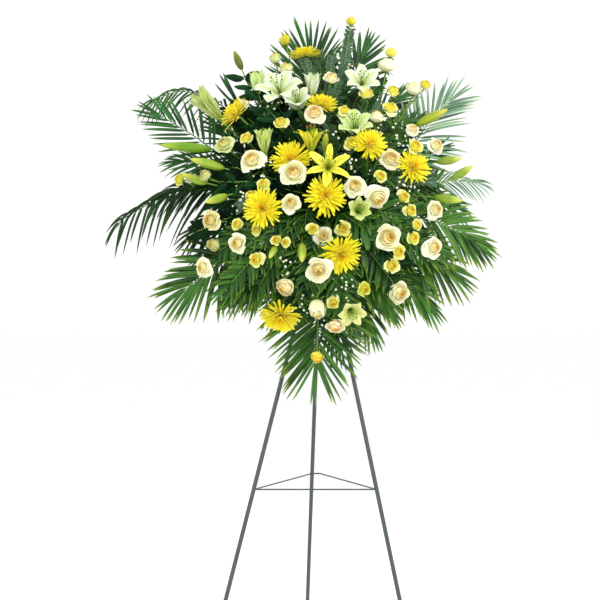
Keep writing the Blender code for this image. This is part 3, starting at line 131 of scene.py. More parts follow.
CREAM_ROSES = {
    "cream_roses_top": (
        (-94, 386, 40, -20, {"opened": 0.7, "tint": "#F4FBD8"}),
        (-124, 423, 34, -20, {"opened": 0.6, "tint": "#E8F4C8"}), (25, 338, 42, 5, {"opened": 0.75}),
    ),
    "cream_roses_top_right": (
        (174, 399, 50, 0, {"facing": (0.1, 1.0, 0.3), "opened": 0.65}),
        (245, 332, 52, 10, {"facing": (0.2, 1.0, 0.5), "opened": 0.75}),
    ),
    "cream_roses_right": (
        (142, 231, 50, -5, {"facing": (0.1, 0.9, 0.6), "opened": 0.8}),
        (178, 116, 60, -5, {"tint": "#FBF5EA"}), (240, 209, 40, 0), (302, 171, 50, 10),
    ),
    "cream_roses_centre": (
        (-20, 225, 58, 20, {"tint": "#FFF4F0"}), (-74, 57, 76, 20), (-81, -16, 52, 0), (3, -96, 52, -20),
    ),
    "cream_roses_left": (
        (-182, 107, 68, 5), (-255, 161, 56, 10, {"tint": "#DDE8BE"}),
        (-305, 84, 34, 0, {"opened": 0.6, "tint": "#E6EEC0"}),
    ),
    "cream_roses_low_left": (
        (-289, -42, 56, 10, {"tint": "#F0ECCB"}), (-281, -103, 36, 0, {"opened": 0.65, "tint": "#E4E8BE"}),
        (-309, -158, 54, 10), (-219, -109, 54, 5),
    ),
    "cream_roses_low_right": (
        (295, -10, 54, 10), (290, -108, 58, 10), (167, -99, 76, 10), (82, 29, 60, 5),
        (141, -1, 68, 5, {"facing": (0.2, -0.8, 0.8)}),
    ),
    "cream_roses_bottom": (
        (-11, -192, 68, 38, {"facing": (0.0, -0.5, 0.9)}),
        (-95, -224, 52, 10, {"facing": (-0.5, -0.7, 0.7), "opened": 0.6, "tint": "#F8F0DC"}),
        (-14, -275, 46, 5, {"facing": (0.0, -1.0, 0.3), "opened": 0.42, "tint": "#F0F2E0"}),
        (33, -315, 50, 5, {"facing": (0.0, -0.9, 0.6), "opened": 0.8, "tint": "#FFF4F0"}),
        (198, -229, 58, 10, {"opened": 0.75}),
    ),
}
SPRAY_ROSES = {
    "spray_roses_top": (
        (82, 548, 32, 0, {"facing": (0.0, 1.0, 0.3), "opened": 0.62, "tint": "#EEE27C"}),
        (-97, 476, 32, 0, {"facing": (-0.2, 1.0, 0.3), "opened": 0.5, "tint": "#D6CC62"}),
        (188, 447, 36, 0, {"facing": (0.2, 1.0, 0.3), "opened": 0.62, "tint": "#FAF0A0"}),
        (190, 317, 40, 0, {"opened": 0.7}), (116, 299, 42, 0, {"opened": 0.7}),
        (280, 358, 32, 0, {"opened": 0.6, "tint": "#FFF4A8"}),
    ),
    "spray_roses_upper": (
        (-107, 208, 42, 0), (-197, 172, 38, 0), (57, 240, 34, 5), (76, 150, 44, -15), (180, 264, 46, 0),
        (149, 62, 38, 0),
    ),
    "spray_roses_right": (
        (242, 148, 50, 30), (228, -20, 40, 0), (210, 13, 40, 0), (245, -55, 34, 0), (235, -89, 42, 0),
        (196, -131, 42, 10), (179, -164, 44, 0),
    ),
    "spray_roses_left": (
        (-152, 43, 36, -10), (-184, 16, 36, -15), (-376, 90, 38, 0, {"opened": 0.82, "tint": "#EEF6B4"}),
        (-219, -59, 36, 0), (-170, -76, 32, -10), (-170, -152, 44, 0), (-118, -108, 32, 0),
    ),
    "spray_roses_low": (
        (-24, -84, 36, 0), (53, -79, 46, -10), (-94, -115, 30, 0), (28, -260, 40, 0),
        (108, -225, 40, 0, {"opened": 0.8, "tint": "#FAFFD0"}),
        (-13, -385, 38, 0, {"facing": (0.0, -1.0, 0.4), "opened": 0.6, "tint": "#F6EA84"}),
    ),
}
LILIES = {
    "lilies_top_left": (
        (-114, 318, 112, 0, {"closed": 0.15}),
        (-169, 338, 62, 0, {"facing": (-0.1, 1.0, 0.2), "closed": 0.85, "tint": "#EAF4BC"}),
    ),
    "lilies_top": (
        (-65, 272, 80, 0, {"closed": 0.45}), (-26, 326, 64, -10, {"facing": (0.0, 1.0, 0.3), "closed": 0.8}),
    ),
    "lilies_top_right": (
        (107, 340, 88, 0, {"facing": (0.1, 0.35, 0.9), "closed": 0.22}),
        (84, 205, 94, -10, {"facing": (0.0, 0.55, 0.9), "closed": 0.28, "tint": "#EEF6C4"}),
    ),
    "lily_yellow": (
        (15, 75, 134, 30, {"closed": 0.0, "share": 0.94}),
        (-29, 160, 100, 0, {"facing": (0.0, 1.0, 0.5), "closed": 0.38, "share": 1.15}),
    ),
    "lilies_low": (
        (92, -30, 72, -10, {"closed": 0.6, "tint": "#ECEEA8"}),
        (74, -280, 76, 0, {"facing": (0.2, -0.7, 0.8), "closed": 0.4, "tint": "#FFF6BC"}),
    ),
    "lilies_left": (
        (-149, 159, 52, 0, {"facing": (-0.1, 1.0, 0.4), "closed": 0.85, "share": 1.55, "tint": "#E6EE9E"}),
        (-304, 292, 62, 0, {"facing": (-0.65, 0.65, 0.25), "closed": 1.0, "share": 1.85, "tint": "#DCE2A0"}),
    ),
}
# Closed lily buds in the same way, with their length for the width
LILY_BUDS = {
    "lily_buds_left": (
        (-359, 178, 146, 0, {"facing": (-1.0, 0.05, 0.1), "tint": "#C2E6A8"}),
        (-298, 115, 98, 0, {"facing": (-1.0, 0.26, 0.1)}), (-333, 84, 75, -10, {"facing": (-1.0, 0.35, 0.1)}),
        (-272, 11, 70, 10, {"facing": (-1.0, -0.45, 0.4)}),
        (-223, 422, 60, 0, {"facing": (-0.4, 1.0, 0.1), "tint": "#B4B078"}),
    ),
    "lily_buds_right": (
        (292, 255, 100, 0, {"facing": (1.0, 0.5, 0.1), "tint": "#FFF2B0"}),
        (372, 113, 70, 0, {"facing": (1.0, 0.6, 0.1)}), (336, 138, 70, 0, {"facing": (1.0, 0.1, 0.2)}),
        (330, 28, 80, 0, {"facing": (1.0, -0.2, 0.2)}),
    ),
    "lily_buds_centre": (
        (-52, -140, 70, 0, {"facing": (0.0, -1.0, 0.5)}), (-126, -137, 45, 0, {"facing": (-0.5, -1.0, 0.4)}),
        (8, 142, 50, 10, {"facing": (0.1, 1.0, 0.6), "tint": "#DCD48C"}),
    ),
}
# Fronds, with lengths in millimetres: foam side, place along it, rachis points in s, t and n, and the bare
# share of the rachis. Then the leaflets' pitch and width in tenths of a millimetre, their length at the
# foot and at the tip, their angle to the rachis there and the power it changes by, their droop and a tint
# The tints also paint light: brighter and whiter on the right-hand fronds that the light falls on, as painted
# light, and greyer and darker on some left-hand ones, as painted shade
FRONDS = {
    "frond_upper_left": (
        "left", 84, ((-200, 115, 60), (-322, 214, 62), (-436, 292, 50)), 0.34,
        180, 95, (165, 88), (62, 16, 1.0), 0.06, "#9CCCC0",
    ),
    "frond_left_arch": (
        "top", -60, ((-150, 220, 35), (-270, 330, 22), (-380, 376, 12), (-465, 350, 0)), 0.45,
        140, 75, (75, 50), (48, 20, 1.0), 0.75, "#ACCCB4",
    ),
    "frond_left_blades": (
        "top", -30, ((-110, 240, 70), (-208, 290, 68), (-232, 335, 60)), 0.6,
        400, 120, (110, 105), (24, 8, 1.0), 0.02, "#88B89C",
    ),
    "frond_left": (
        "left", 60, ((-200, 90, 85), (-300, 135, 90), (-378, 150, 80)), 0.36,
        150, 80, (105, 70), (44, 14, 1.0), 0.26, "#A0CCAC",
    ),
    "frond_left_drooping": (
        "left", 30, ((-200, 52, 50), (-352, 88, 45), (-490, 30, 35), (-542, -3, 30)), 0.26,
        195, 100, (126, 52), (46, 26, 1.0), 0.84, "#6C8874",
    ),
    "frond_lower_left": (
        "left", -30, ((-200, -75, 60), (-288, -142, 55), (-362, -187, 40)), 0.28,
        100, 122, (172, 105), (70, 16, 1.2), 0.14, "#DCE8C0",
    ),
    "frond_bottom_left": (
        "bottom", -70, ((-130, -140, 85), (-185, -185, 88), (-213, -206, 80)), 0.25,
        100, 112, (110, 80), (50, 10, 1.0), 0.2, "#E4ECC0",
    ),
    "frond_bottom": (
        "bottom", -20, ((-15, -180, 70), (-12, -300, 62), (-16, -388, 45)), 0.12,
        76, 104, (206, 124), (60, 25, 2.6), 0.03, "#DCE8BC",
    ),
    "frond_bottom_right": (
        "bottom", 30, ((90, -150, 100), (142, -205, 100), (168, -240, 90)), 0.3,
        140, 122, (114, 78), (44, 8, 1.0), 0.16, "#ECF2C4",
    ),
    "frond_lower_right": (
        "right", -60, ((170, -55, 55), (258, -98, 50), (332, -138, 38)), 0.28,
        105, 120, (148, 100), (62, 14, 1.2), 0.24, "#F0F2C4",
    ),
    "frond_right": (
        "right", -24, ((200, 0, 85), (318, -22, 80), (404, -66, 60)), 0.32,
        102, 120, (148, 82), (64, 14, 1.2), 0.2, "#F0F2C4",
    ),
    "frond_right_arch": (
        "right", 30, ((180, 60, 40), (330, 112, 28), (425, 112, 12)), 0.4,
        110, 58, (85, 55), (50, 22, 1.0), 0.42, "#FFFFFF",
    ),
    "frond_upper_right": (
        "right", 70, ((170, 130, 60), (250, 210, 58), (302, 286, 50), (350, 336, 38)), 0.32,
        125, 92, (160, 108), (68, 14, 1.0), 0.1, "#FFFFFF",
    ),
    "frond_top_right": (
        "top", 40, ((50, 240, 75), (68, 350, 68), (112, 462, 52)), 0.4,
        112, 125, (124, 100), (82, 8, 1.4), 0.02, "#A4D0B4",
    ),
    "frond_top": (
        "top", 0, ((-8, 240, 50), (-20, 365, 40), (-27, 458, 26)), 0.34,
        86, 132, (162, 150), (88, 9, 1.4), 0.01, "#98C4A8",
    ),
}
# Right-hand fronds that the light falls on, which take the leaflet with painted light
LIT_FRONDS = ("frond_right_arch", "frond_upper_right")
# Short fronds that fill the gaps between the long ones, in the same way, their tints too with painted shade:
# greyer and darker on the left
FILLER_FRONDS = (
    ("left", -55, ((-165, -60, 50), (-235, -80, 45), (-285, -90, 35)), 0.15,
     125, 105, (120, 85), (58, 14, 1.0), 0.3, "#A4C094"),
    ("left", 15, ((-180, 62, 58), (-300, 92, 54), (-425, 66, 46)), 0.2,
     110, 92, (92, 55), (46, 20, 1.0), 0.66, "#64806C"),
    ("left", 0, ((-170, 20, 40), (-250, 10, 35), (-330, -30, 30)), 0.15,
     125, 100, (125, 80), (58, 16, 1.0), 0.35, "#708C78"),
    ("left", 100, ((-155, 160, 40), (-225, 215, 35), (-270, 260, 30)), 0.2,
     140, 100, (120, 90), (56, 14, 1.0), 0.15, "#80A890"),
    ("top", -45, ((-60, 200, 45), (-100, 280, 40), (-135, 330, 30)), 0.2,
     140, 105, (115, 80), (56, 12, 1.0), 0.08, "#88B094"),
    ("top", 60, ((80, 200, 45), (150, 290, 40), (210, 345, 30)), 0.2,
     130, 100, (120, 85), (56, 12, 1.0), 0.1, "#A8D0A8"),
    ("right", 50, ((160, 100, 50), (240, 150, 45), (310, 195, 35)), 0.2,
     130, 95, (110, 75), (56, 14, 1.0), 0.16, "#B0D8B0"),
    ("right", 10, ((170, 40, 50), (260, 55, 45), (340, 45, 35)), 0.2,
     130, 105, (115, 80), (58, 14, 1.0), 0.25, "#A8D8A0"),
    ("right", -85, ((150, -110, 60), (220, -170, 55), (262, -210, 45)), 0.15,
     120, 120, (125, 95), (60, 10, 1.0), 0.2, "#D2E4AC"),
    ("bottom", 60, ((70, -150, 70), (100, -220, 65), (118, -270, 55)), 0.15,
     120, 120, (120, 100), (56, 8, 1.0), 0.1, "#CADEA4"),
    ("bottom", -45, ((-70, -140, 65), (-95, -195, 60), (-110, -228, 50)), 0.15,
     115, 120, (120, 90), (58, 8, 1.0), 0.1, "#C6DCA0"),
    ("bottom", 5, ((15, -150, 40), (28, -230, 35), (36, -296, 30)), 0.15,
     110, 105, (150, 118), (60, 8, 1.2), 0.05, "#CEE2A4"),
    ("left", -80, ((-150, -110, 85), (-190, -150, 100), (-235, -180, 95)), 0.1,
     120, 110, (120, 85), (60, 12, 1.0), 0.22, "#BCD49C"),
    ("left", 40, ((-150, 70, 90), (-210, 95, 110), (-280, 110, 105)), 0.1,
     125, 105, (115, 80), (58, 14, 1.0), 0.25, "#688470"),
    ("right", 85, ((140, 140, 90), (190, 200, 105), (240, 250, 100)), 0.1,
     125, 100, (110, 80), (58, 14, 1.0), 0.16, "#90B890"),
    ("right", -45, ((150, -40, 90), (210, -70, 110), (280, -90, 105)), 0.1,
     120, 115, (120, 85), (60, 12, 1.0), 0.22, "#CADEA4"),
    ("top", 20, ((20, 190, 85), (30, 260, 100), (50, 330, 95)), 0.1,
     130, 100, (110, 80), (58, 12, 1.0), 0.1, "#80A890"),
    ("top", -80, ((-100, 170, 85), (-150, 220, 100), (-200, 260, 95)), 0.1,
     130, 100, (110, 80), (58, 12, 1.0), 0.12, "#789C84"),
    ("bottom", 20, ((20, -130, 95), (40, -180, 115), (55, -235, 105)), 0.1,
     120, 115, (120, 90), (58, 10, 1.0), 0.12, "#C6DCA0"),
    ("bottom", -90, ((-110, -130, 95), (-140, -170, 110), (-165, -205, 100)), 0.1,
     120, 120, (115, 85), (58, 10, 1.0), 0.16, "#C6DCA0"),
    ("bottom", 80, ((100, -120, 90), (140, -160, 105), (180, -190, 95)), 0.1,
     120, 120, (115, 85), (58, 10, 1.0), 0.16, "#CADEA4"),
)
# Leafy stems between the flowers, in millimetres: where they come up and end in s and t, and how deep they
# lie
VARIEGATED_STEMS = (
    ((90, 180), (150, 270), 22), ((210, 65), (290, 72), 20), ((20, 330), (28, 420), 22),
    ((-150, 20), (-215, -10), 22), ((40, 330), (75, 410), 24), ((-20, 340), (-45, 410), 26),
    ((-150, 280), (-190, 370), 28), ((62, 400), (79, 515), 6),
)
BROAD_STEMS = (
    ((-110, 215), (-170, 300), 26), ((-175, 55), (-245, 65), 30), ((-65, -190), (-60, -260), 34),
    ((150, -100), (200, -150), 34), ((-165, 300), (-205, 360), 12),
)
# Baby's breath, in millimetres: where each sprig ends in s and t, how many florets it has and how wide it is
FLORET_SPRIGS = (
    (52, -222, 22, 45), (68, 95, 12, 30), (190, 200, 26, 50), (-90, -170, 12, 32), (30, 180, 12, 30),
    (128, 180, 16, 40), (-150, 85, 12, 34), (-215, 10, 12, 36), (205, 45, 14, 36), (-40, -250, 8, 26),
    (-130, 250, 10, 34), (60, 400, 10, 34),
)

# Each kind of head: its petals' material, its slot, its stem's radius and where the stem meets it, in radii
KINDS = {
    "mum": ("yellow chrysanthemum floret", "mum_petal", 0.0024, -0.22),
    "rose": ("ivory rose petal", "cream_petal", 0.0022, -0.66),
    "spray": ("golden spray rose petal", "yellow_petal", 0.0014, -0.66),
    "lily": ("white-green lily tepal", "lily_petal", 0.0027, -0.60),
    "bud": ("lily bud skin", "bud_skin", 0.0019, -0.48),
}
# Leaves of a stem, in metres: length, width, pitch, where they are widest, and the columns and rows of
# their grid
SMALL_LEAF = (0.022, 0.0095, 0.0075, 0.45, 3, 6)
BROAD_LEAF = (0.060, 0.022, 0.040, 0.42, 5, 9)
# Filler leaves, their material's place in the piece and their tint: below and at the right, at the top,
# elsewhere. The last ones take the leaf darkened nearly to black as painted shade inside the spray
LOW_FILLER = (0.066, 0.0092, 0.0105, 0.40, 3, 6), 2, "#B8D09A"
TOP_FILLER = (0.036, 0.0120, 0.0090, 0.42, 3, 6), 2, "#889E84"
SHADE_DARKENED_FILLER = (0.052, 0.0140, 0.0130, 0.42, 3, 6), 0, "#A8C0A8"
# How far from the dome's centre the filler goes: aside, up and down
FILLER_REACH = (0.33, 0.40, 0.33)

# The photo's camera: as far off, as high and as long in millimetres. Then the studio's area lights with
# place, watts and side, and the point they are aimed at
CAMERA_PLACE = (0.0047, -4.0083, 0.955)
CAMERA_SENSOR = 36.0
CAMERA_LENS = 88.86
LIGHTS = (
    ("key", (1.7, -2.6, 3.2), 62.0, 1.1),
    ("fill", (-2.2, -2.4, 1.8), 16.0, 1.8),
    ("rim", (0.6, 2.6, 2.6), 26.0, 1.4),
)
LIGHT_AIM = (0.0, -0.05, 1.15)
WORLD_STRENGTH = 1.05
FLOOR_REACH = 40.0
FLOOR_STEPS = 9


def metres(values):
    """Values of a table, given in millimetres, as metres."""
    return [value / 1000 for value in values]


def linear(code):
    """An sRGB hex colour as linear red, green, blue and a full alpha, by the standard sRGB curve."""
    values = np.array([int(code[i:i + 2], 16) / 255.0 for i in (1, 3, 5)])
    return *np.where(values <= 0.04045, values / 12.92, ((values + 0.055) / 1.055) ** 2.4), 1.0


def unit(v):
    """Vectors along the last axis at length one."""
    v = np.asarray(v, float)
    return v / np.linalg.norm(v, axis=-1, keepdims=True)


def ease(x):
    """A smooth step from 0 to 1: 3x^2 - 2x^3 of x held between 0 and 1."""
    x = np.clip(x, 0.0, 1.0)
    return x * x * (3.0 - 2.0 * x)


def dome_height(s, t):
    """How far in front of the leg plane the dome lies: a paraboloid over a flat edge."""
    reach_t = DOME_REACH[1] if t > DOME_CENTRE[1] else DOME_REACH[2]
    share = ((s - DOME_CENTRE[0]) / DOME_REACH[0]) ** 2 + ((t - DOME_CENTRE[1]) / reach_t) ** 2
    return DOME_EDGE + DOME_RISE * max(0.0, 1.0 - share)


def dome_point(s, t, lift):
    """A point at a height over the dome of flower heads."""
    return np.array((s, t, dome_height(s, t) + lift))


def turn_to(axis, spin=0.0):
    """Rotation that takes z to the axis, after a turn about z."""
    quaternion = Vector((0.0, 0.0, 1.0)).rotation_difference(Vector(axis))
    return np.array(quaternion.to_matrix() @ Matrix.Rotation(spin, 3, "Z"))


def bezier(a, b, c, d, count):
    """Points at even parameter steps along the cubic curve of four control points."""
    u = np.linspace(0.0, 1.0, count)[:, None]
    return (1 - u) ** 3 * a + 3 * (1 - u) ** 2 * u * b + 3 * (1 - u) * u**2 * c + u**3 * d


def smooth_path(points, shares):
    """Points at shares of the length of a smooth curve through the given points, a Catmull-Rom spline."""
    given = np.asarray(points, float)
    ends = np.vstack([2 * given[0] - given[1], given, 2 * given[-1] - given[-2]])
    u = np.linspace(0.0, 1.0, 24, endpoint=False)[:, None]
    pieces = []
    for p0, p1, p2, p3 in zip(ends[:-3], ends[1:-2], ends[2:-1], ends[3:]):
        second = 2 * p0 - 5 * p1 + 4 * p2 - p3
        third = 3 * p1 - p0 - 3 * p2 + p3
        pieces.append(0.5 * (2 * p1 + (p2 - p0) * u + second * u**2 + third * u**3))
    fine = np.vstack(pieces + [given[-1:]])
    run = np.concatenate([[0.0], np.cumsum(np.linalg.norm(np.diff(fine, axis=0), axis=1))])
    wanted = np.asarray(shares) * run[-1]
    return np.stack([np.interp(wanted, run, fine[:, k]) for k in range(3)], -1)


def path_length(path):
    """Length of a path of straight steps."""
    return float(np.linalg.norm(np.diff(path, axis=0), axis=1).sum())


def path_frames(path):
    """Tangent, side and ridge at each point of a path, with the ridge turned to the front as far as it can
    be."""
    tangent = unit(np.gradient(path, axis=0))
    side = np.cross(tangent, FORWARD)
    slanted = np.linalg.norm(side, axis=1) > LEAST_SLANT
    if slanted.any():
        side[~slanted] = side[np.argmax(slanted)]
    else:
        side[:] = (1.0, 0.0, 0.0)
    side = unit(side - tangent * (side * tangent).sum(-1, keepdims=True))
    return tangent, side, np.cross(side, tangent)


class Pile:
    """The sheets, tubes and turned forms of one piece, gathered as arrays until they become one mesh."""

    def __init__(self):
        self.points, self.tones, self.tints, self.faces, self.slots = [], [], [], [], []
        self.count = 0

    def add(self, points, tones, faces, slot, tint):
        """Adds points with their tone (along, across, layer, chance), face arrays and one tint for all."""
        points = points.reshape(-1, 3)
        self.points.append(points)
        self.tones.append(np.broadcast_to(tones, (len(points), 4)))
        self.tints.append(np.tile(linear(tint), (len(points), 1)))
        for face in faces:
            self.faces.append(face + self.count)
            self.slots.append(np.full(len(face), slot))
        self.count += len(points)

    def sheets(self, grid, tones, thickness, slot=0, tint=PLAIN):
        """Thin closed sheets from a grid of middle surfaces, sheets x along x across x 3.

        Each point moves half the thickness along the surface's normal, the cross product of the two grid
        directions, for the top skin and against it for the bottom one. Both skins share the rim, so each
        sheet is closed and thins out to its edge."""
        sheets, rows, columns = grid.shape[:3]
        normal = unit(np.cross(np.gradient(grid, axis=1), np.gradient(grid, axis=2)) + 1e-12)
        half = np.zeros((1, rows, columns, 1))
        half[:, 1:-1, 1:-1] = thickness / 2
        top = grid + normal * half
        low = (grid - normal * half)[:, 1:-1, 1:-1]
        upper = np.arange(rows * columns).reshape(rows, columns)
        lower = upper.copy()
        inner = rows - 2, columns - 2
        lower[1:-1, 1:-1] = rows * columns + np.arange(inner[0] * inner[1]).reshape(inner)
        quads = [
            np.stack([index[:-1, :-1], index[1:, :-1], index[1:, 1:], index[:-1, 1:]], -1).reshape(-1, 4)
            for index in (upper, lower)
        ]
        quads = np.concatenate([quads[0], quads[1][:, ::-1]])
        size = rows * columns + inner[0] * inner[1]
        points = np.concatenate([top.reshape(sheets, -1, 3), low.reshape(sheets, -1, 3)], 1)
        tones = np.broadcast_to(tones, (sheets, rows, columns, 4))
        tones = np.concatenate([tones.reshape(sheets, -1, 4), tones[:, 1:-1, 1:-1].reshape(sheets, -1, 4)], 1)
        faces = (quads[None] + size * np.arange(sheets)[:, None, None]).reshape(-1, 4)
        self.add(points, tones.reshape(-1, 4), [faces], slot, tint)

    def rings(self, rings, ends, tones, slot=0, tint=PLAIN):
        """A closed surface through rings of points, rings x corners x 3, with an end point beyond each end.

        The corners run anticlockwise seen from the last ring, so that the faces look outwards."""
        rows, corners = rings.shape[:2]
        index = np.arange(rows * corners).reshape(rows, corners)
        after = np.roll(index, -1, axis=1)
        quads = np.stack([index[:-1], after[:-1], after[1:], index[1:]], -1).reshape(-1, 4)
        first, last = np.full(corners, rows * corners), np.full(corners, rows * corners + 1)
        caps = np.concatenate([
            np.stack([first, after[0], index[0]], -1),
            np.stack([index[-1], after[-1], last], -1),
        ])
        points = np.concatenate([rings.reshape(-1, 3), np.asarray(ends, float)])
        tones = np.broadcast_to(tones, (rows, corners, 4)).reshape(-1, 4)
        tones = np.concatenate([tones, tones[:1], tones[-1:]])
        self.add(points, tones, [quads, caps], slot, tint)

    def tube(self, path, radii, sides, slot=0, tint=PLAIN):
        """A round stem along a path: a circle in the plane square to the path at each of its points."""
        tangent = unit(np.gradient(path, axis=0))
        trial = np.eye(3)[np.argmin(np.abs(tangent).max(axis=0))]
        side = unit(np.cross(tangent, trial))
        up = np.cross(tangent, side)
        angle = 2.0 * math.pi * np.arange(sides) / sides
        radii = np.broadcast_to(radii, len(path))[:, None, None]
        circle = np.cos(angle)[None, :, None] * side[:, None] + np.sin(angle)[None, :, None] * up[:, None]
        along = np.linspace(0.0, 1.0, len(path))[:, None]
        around = np.arange(sides)[None] / sides
        tones = np.stack(np.broadcast_arrays(along, around, 0.0, 0.5), -1)
        self.rings(path[:, None] + radii * circle, (path[0], path[-1]), tones, slot, tint)

    def turned(self, profile, sides, turned, place, scale, lobes=(0.0, 0), slot=0, layer=0.0, tint=PLAIN):
        """A turned form: a profile of radius and height swung round the axis, lobed by a cosine of the angle.

        The first and last row of the profile are the two poles on the axis."""
        profile = np.asarray(profile, float)
        angle = 2.0 * math.pi * np.arange(sides) / sides
        radius = profile[1:-1, :1] * (1.0 + lobes[0] * np.cos(lobes[1] * angle))
        height = np.broadcast_to(profile[1:-1, 1:], radius.shape)
        rings = np.stack([radius * np.cos(angle), radius * np.sin(angle), height], -1)
        poles = np.array([(0.0, 0.0, profile[0, 1]), (0.0, 0.0, profile[-1, 1])])
        along = np.linspace(0.0, 1.0, len(profile) - 2)[:, None]
        around = 0.5 + 0.5 * np.cos(lobes[1] * angle)[None]
        tones = np.stack(np.broadcast_arrays(along, around, layer, 0.5), -1)
        self.rings(place + (rings * scale) @ turned.T, place + (poles * scale) @ turned.T, tones, slot, tint)

    def finish(self, name, materials, slot_name, replaced, room=True):
        """Makes the gathered arrays one smooth mesh in the room's frame, with its materials and body. The slot
        name is not used."""
        points = np.concatenate(self.points)
        if room:
            points = APEX + points @ TO_ROOM.T
        mesh = bpy.data.meshes.new(name)
        mesh.vertices.add(len(points))
        mesh.vertices.foreach_set("co", points.astype(np.float32).ravel())
        corners = np.concatenate([face.ravel() for face in self.faces])
        sizes = np.concatenate([np.full(len(face), face.shape[1]) for face in self.faces])
        mesh.loops.add(len(corners))
        mesh.loops.foreach_set("vertex_index", corners.astype(np.int32))
        mesh.polygons.add(len(sizes))
        mesh.polygons.foreach_set("loop_start", (np.cumsum(sizes) - sizes).astype(np.int32))
        mesh.polygons.foreach_set("material_index", np.concatenate(self.slots).astype(np.int32))
        for layer, values in (("tone", self.tones), ("tint", self.tints)):
            attribute = mesh.attributes.new(layer, "FLOAT_COLOR", "POINT")
            attribute.data.foreach_set("color", np.concatenate(values).astype(np.float32).ravel())
        mesh.update(calc_edges=True)
        for material in materials:
            mesh.materials.append(material)
        mesh.shade_smooth()
        mesh.set_sharp_from_angle(angle=SHARP_ANGLE)
        obj = bpy.data.objects.new(name, mesh)
        bpy.context.scene.collection.objects.link(obj)
        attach(obj, "root")
        if replaced:
            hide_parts(*replaced)


def grid_tones(sheets, rows, columns, layer, chance):
    """Tones of a grid of sheets: along and across from 0 to 1, a layer and a chance for each sheet."""
    along = np.linspace(0.0, 1.0, rows)[None, :, None]
    across = np.linspace(0.0, 1.0, columns)[None, None, :]
    layer = np.broadcast_to(layer, sheets)[:, None, None]
    chance = np.broadcast_to(chance, sheets)[:, None, None]
    return np.stack(np.broadcast_arrays(along, across, layer, chance), -1)


def leaf_outline(u, peak, taper, least=0.05):
    """Share of a leaf's full width at u: u^a (1-u)^b, with b the taper and a such that it is widest at the
    peak."""
    rise = taper * peak / (1.0 - peak)
    widest = peak**rise * (1.0 - peak) ** taper
    return least + (1.0 - least) * np.clip(u, 0, 1) ** rise * (1.0 - np.clip(u, 0, 1)) ** taper / widest


def leaf_grid(root, along, across, length, width, outline, fall=0.0, fold=0.0, arch=0.0, wave=0.0, columns=3):
    """Middle surfaces of leaves. A point at u along and v across lies at the root + u length along + v half
    the width at u across; it falls by fall length u^2, folds up by fold width |v|, arches by a sine of u
    along the leaf's normal, and its edges wave by a sine of u times v^2."""
    rows = len(outline)
    u = np.linspace(0.0, 1.0, rows)[None, :, None, None]
    v = np.linspace(-1.0, 1.0, columns)[None, None, :, None]
    root, along, across = (np.asarray(x)[:, None, None] for x in (root, along, across))
    count = len(root)
    length, width, fall, fold, arch, wave = (
        np.broadcast_to(x, count)[:, None, None, None] for x in (length, width, fall, fold, arch, wave)
    )
    half = width / 2 * np.asarray(outline)[None, :, None, None]
    up = np.cross(along, across)
    out = root + along * length * u + across * half * v + DOWN * fall * length * u**2
    out = out + up * (fold * half * np.abs(v) * 2 + arch * length * np.sin(math.pi * u))
    return out + up * wave * width * np.sin(11.0 * u + 9.0 * root[..., :1] / 0.01) * v**2 * u * (1 - u) * 4


def round_axes(angle, height=0.0):
    """Directions out at angles round z, with a height of their own, and the level ones square to them."""
    zeros = np.zeros(len(angle))
    out = np.stack([np.cos(angle), np.sin(angle), zeros + height], -1)
    return out, np.stack([-np.sin(angle), np.cos(angle), zeros], -1)


# Flower heads. Each looks along +z from its own middle, and its numbers are shares of its radius.


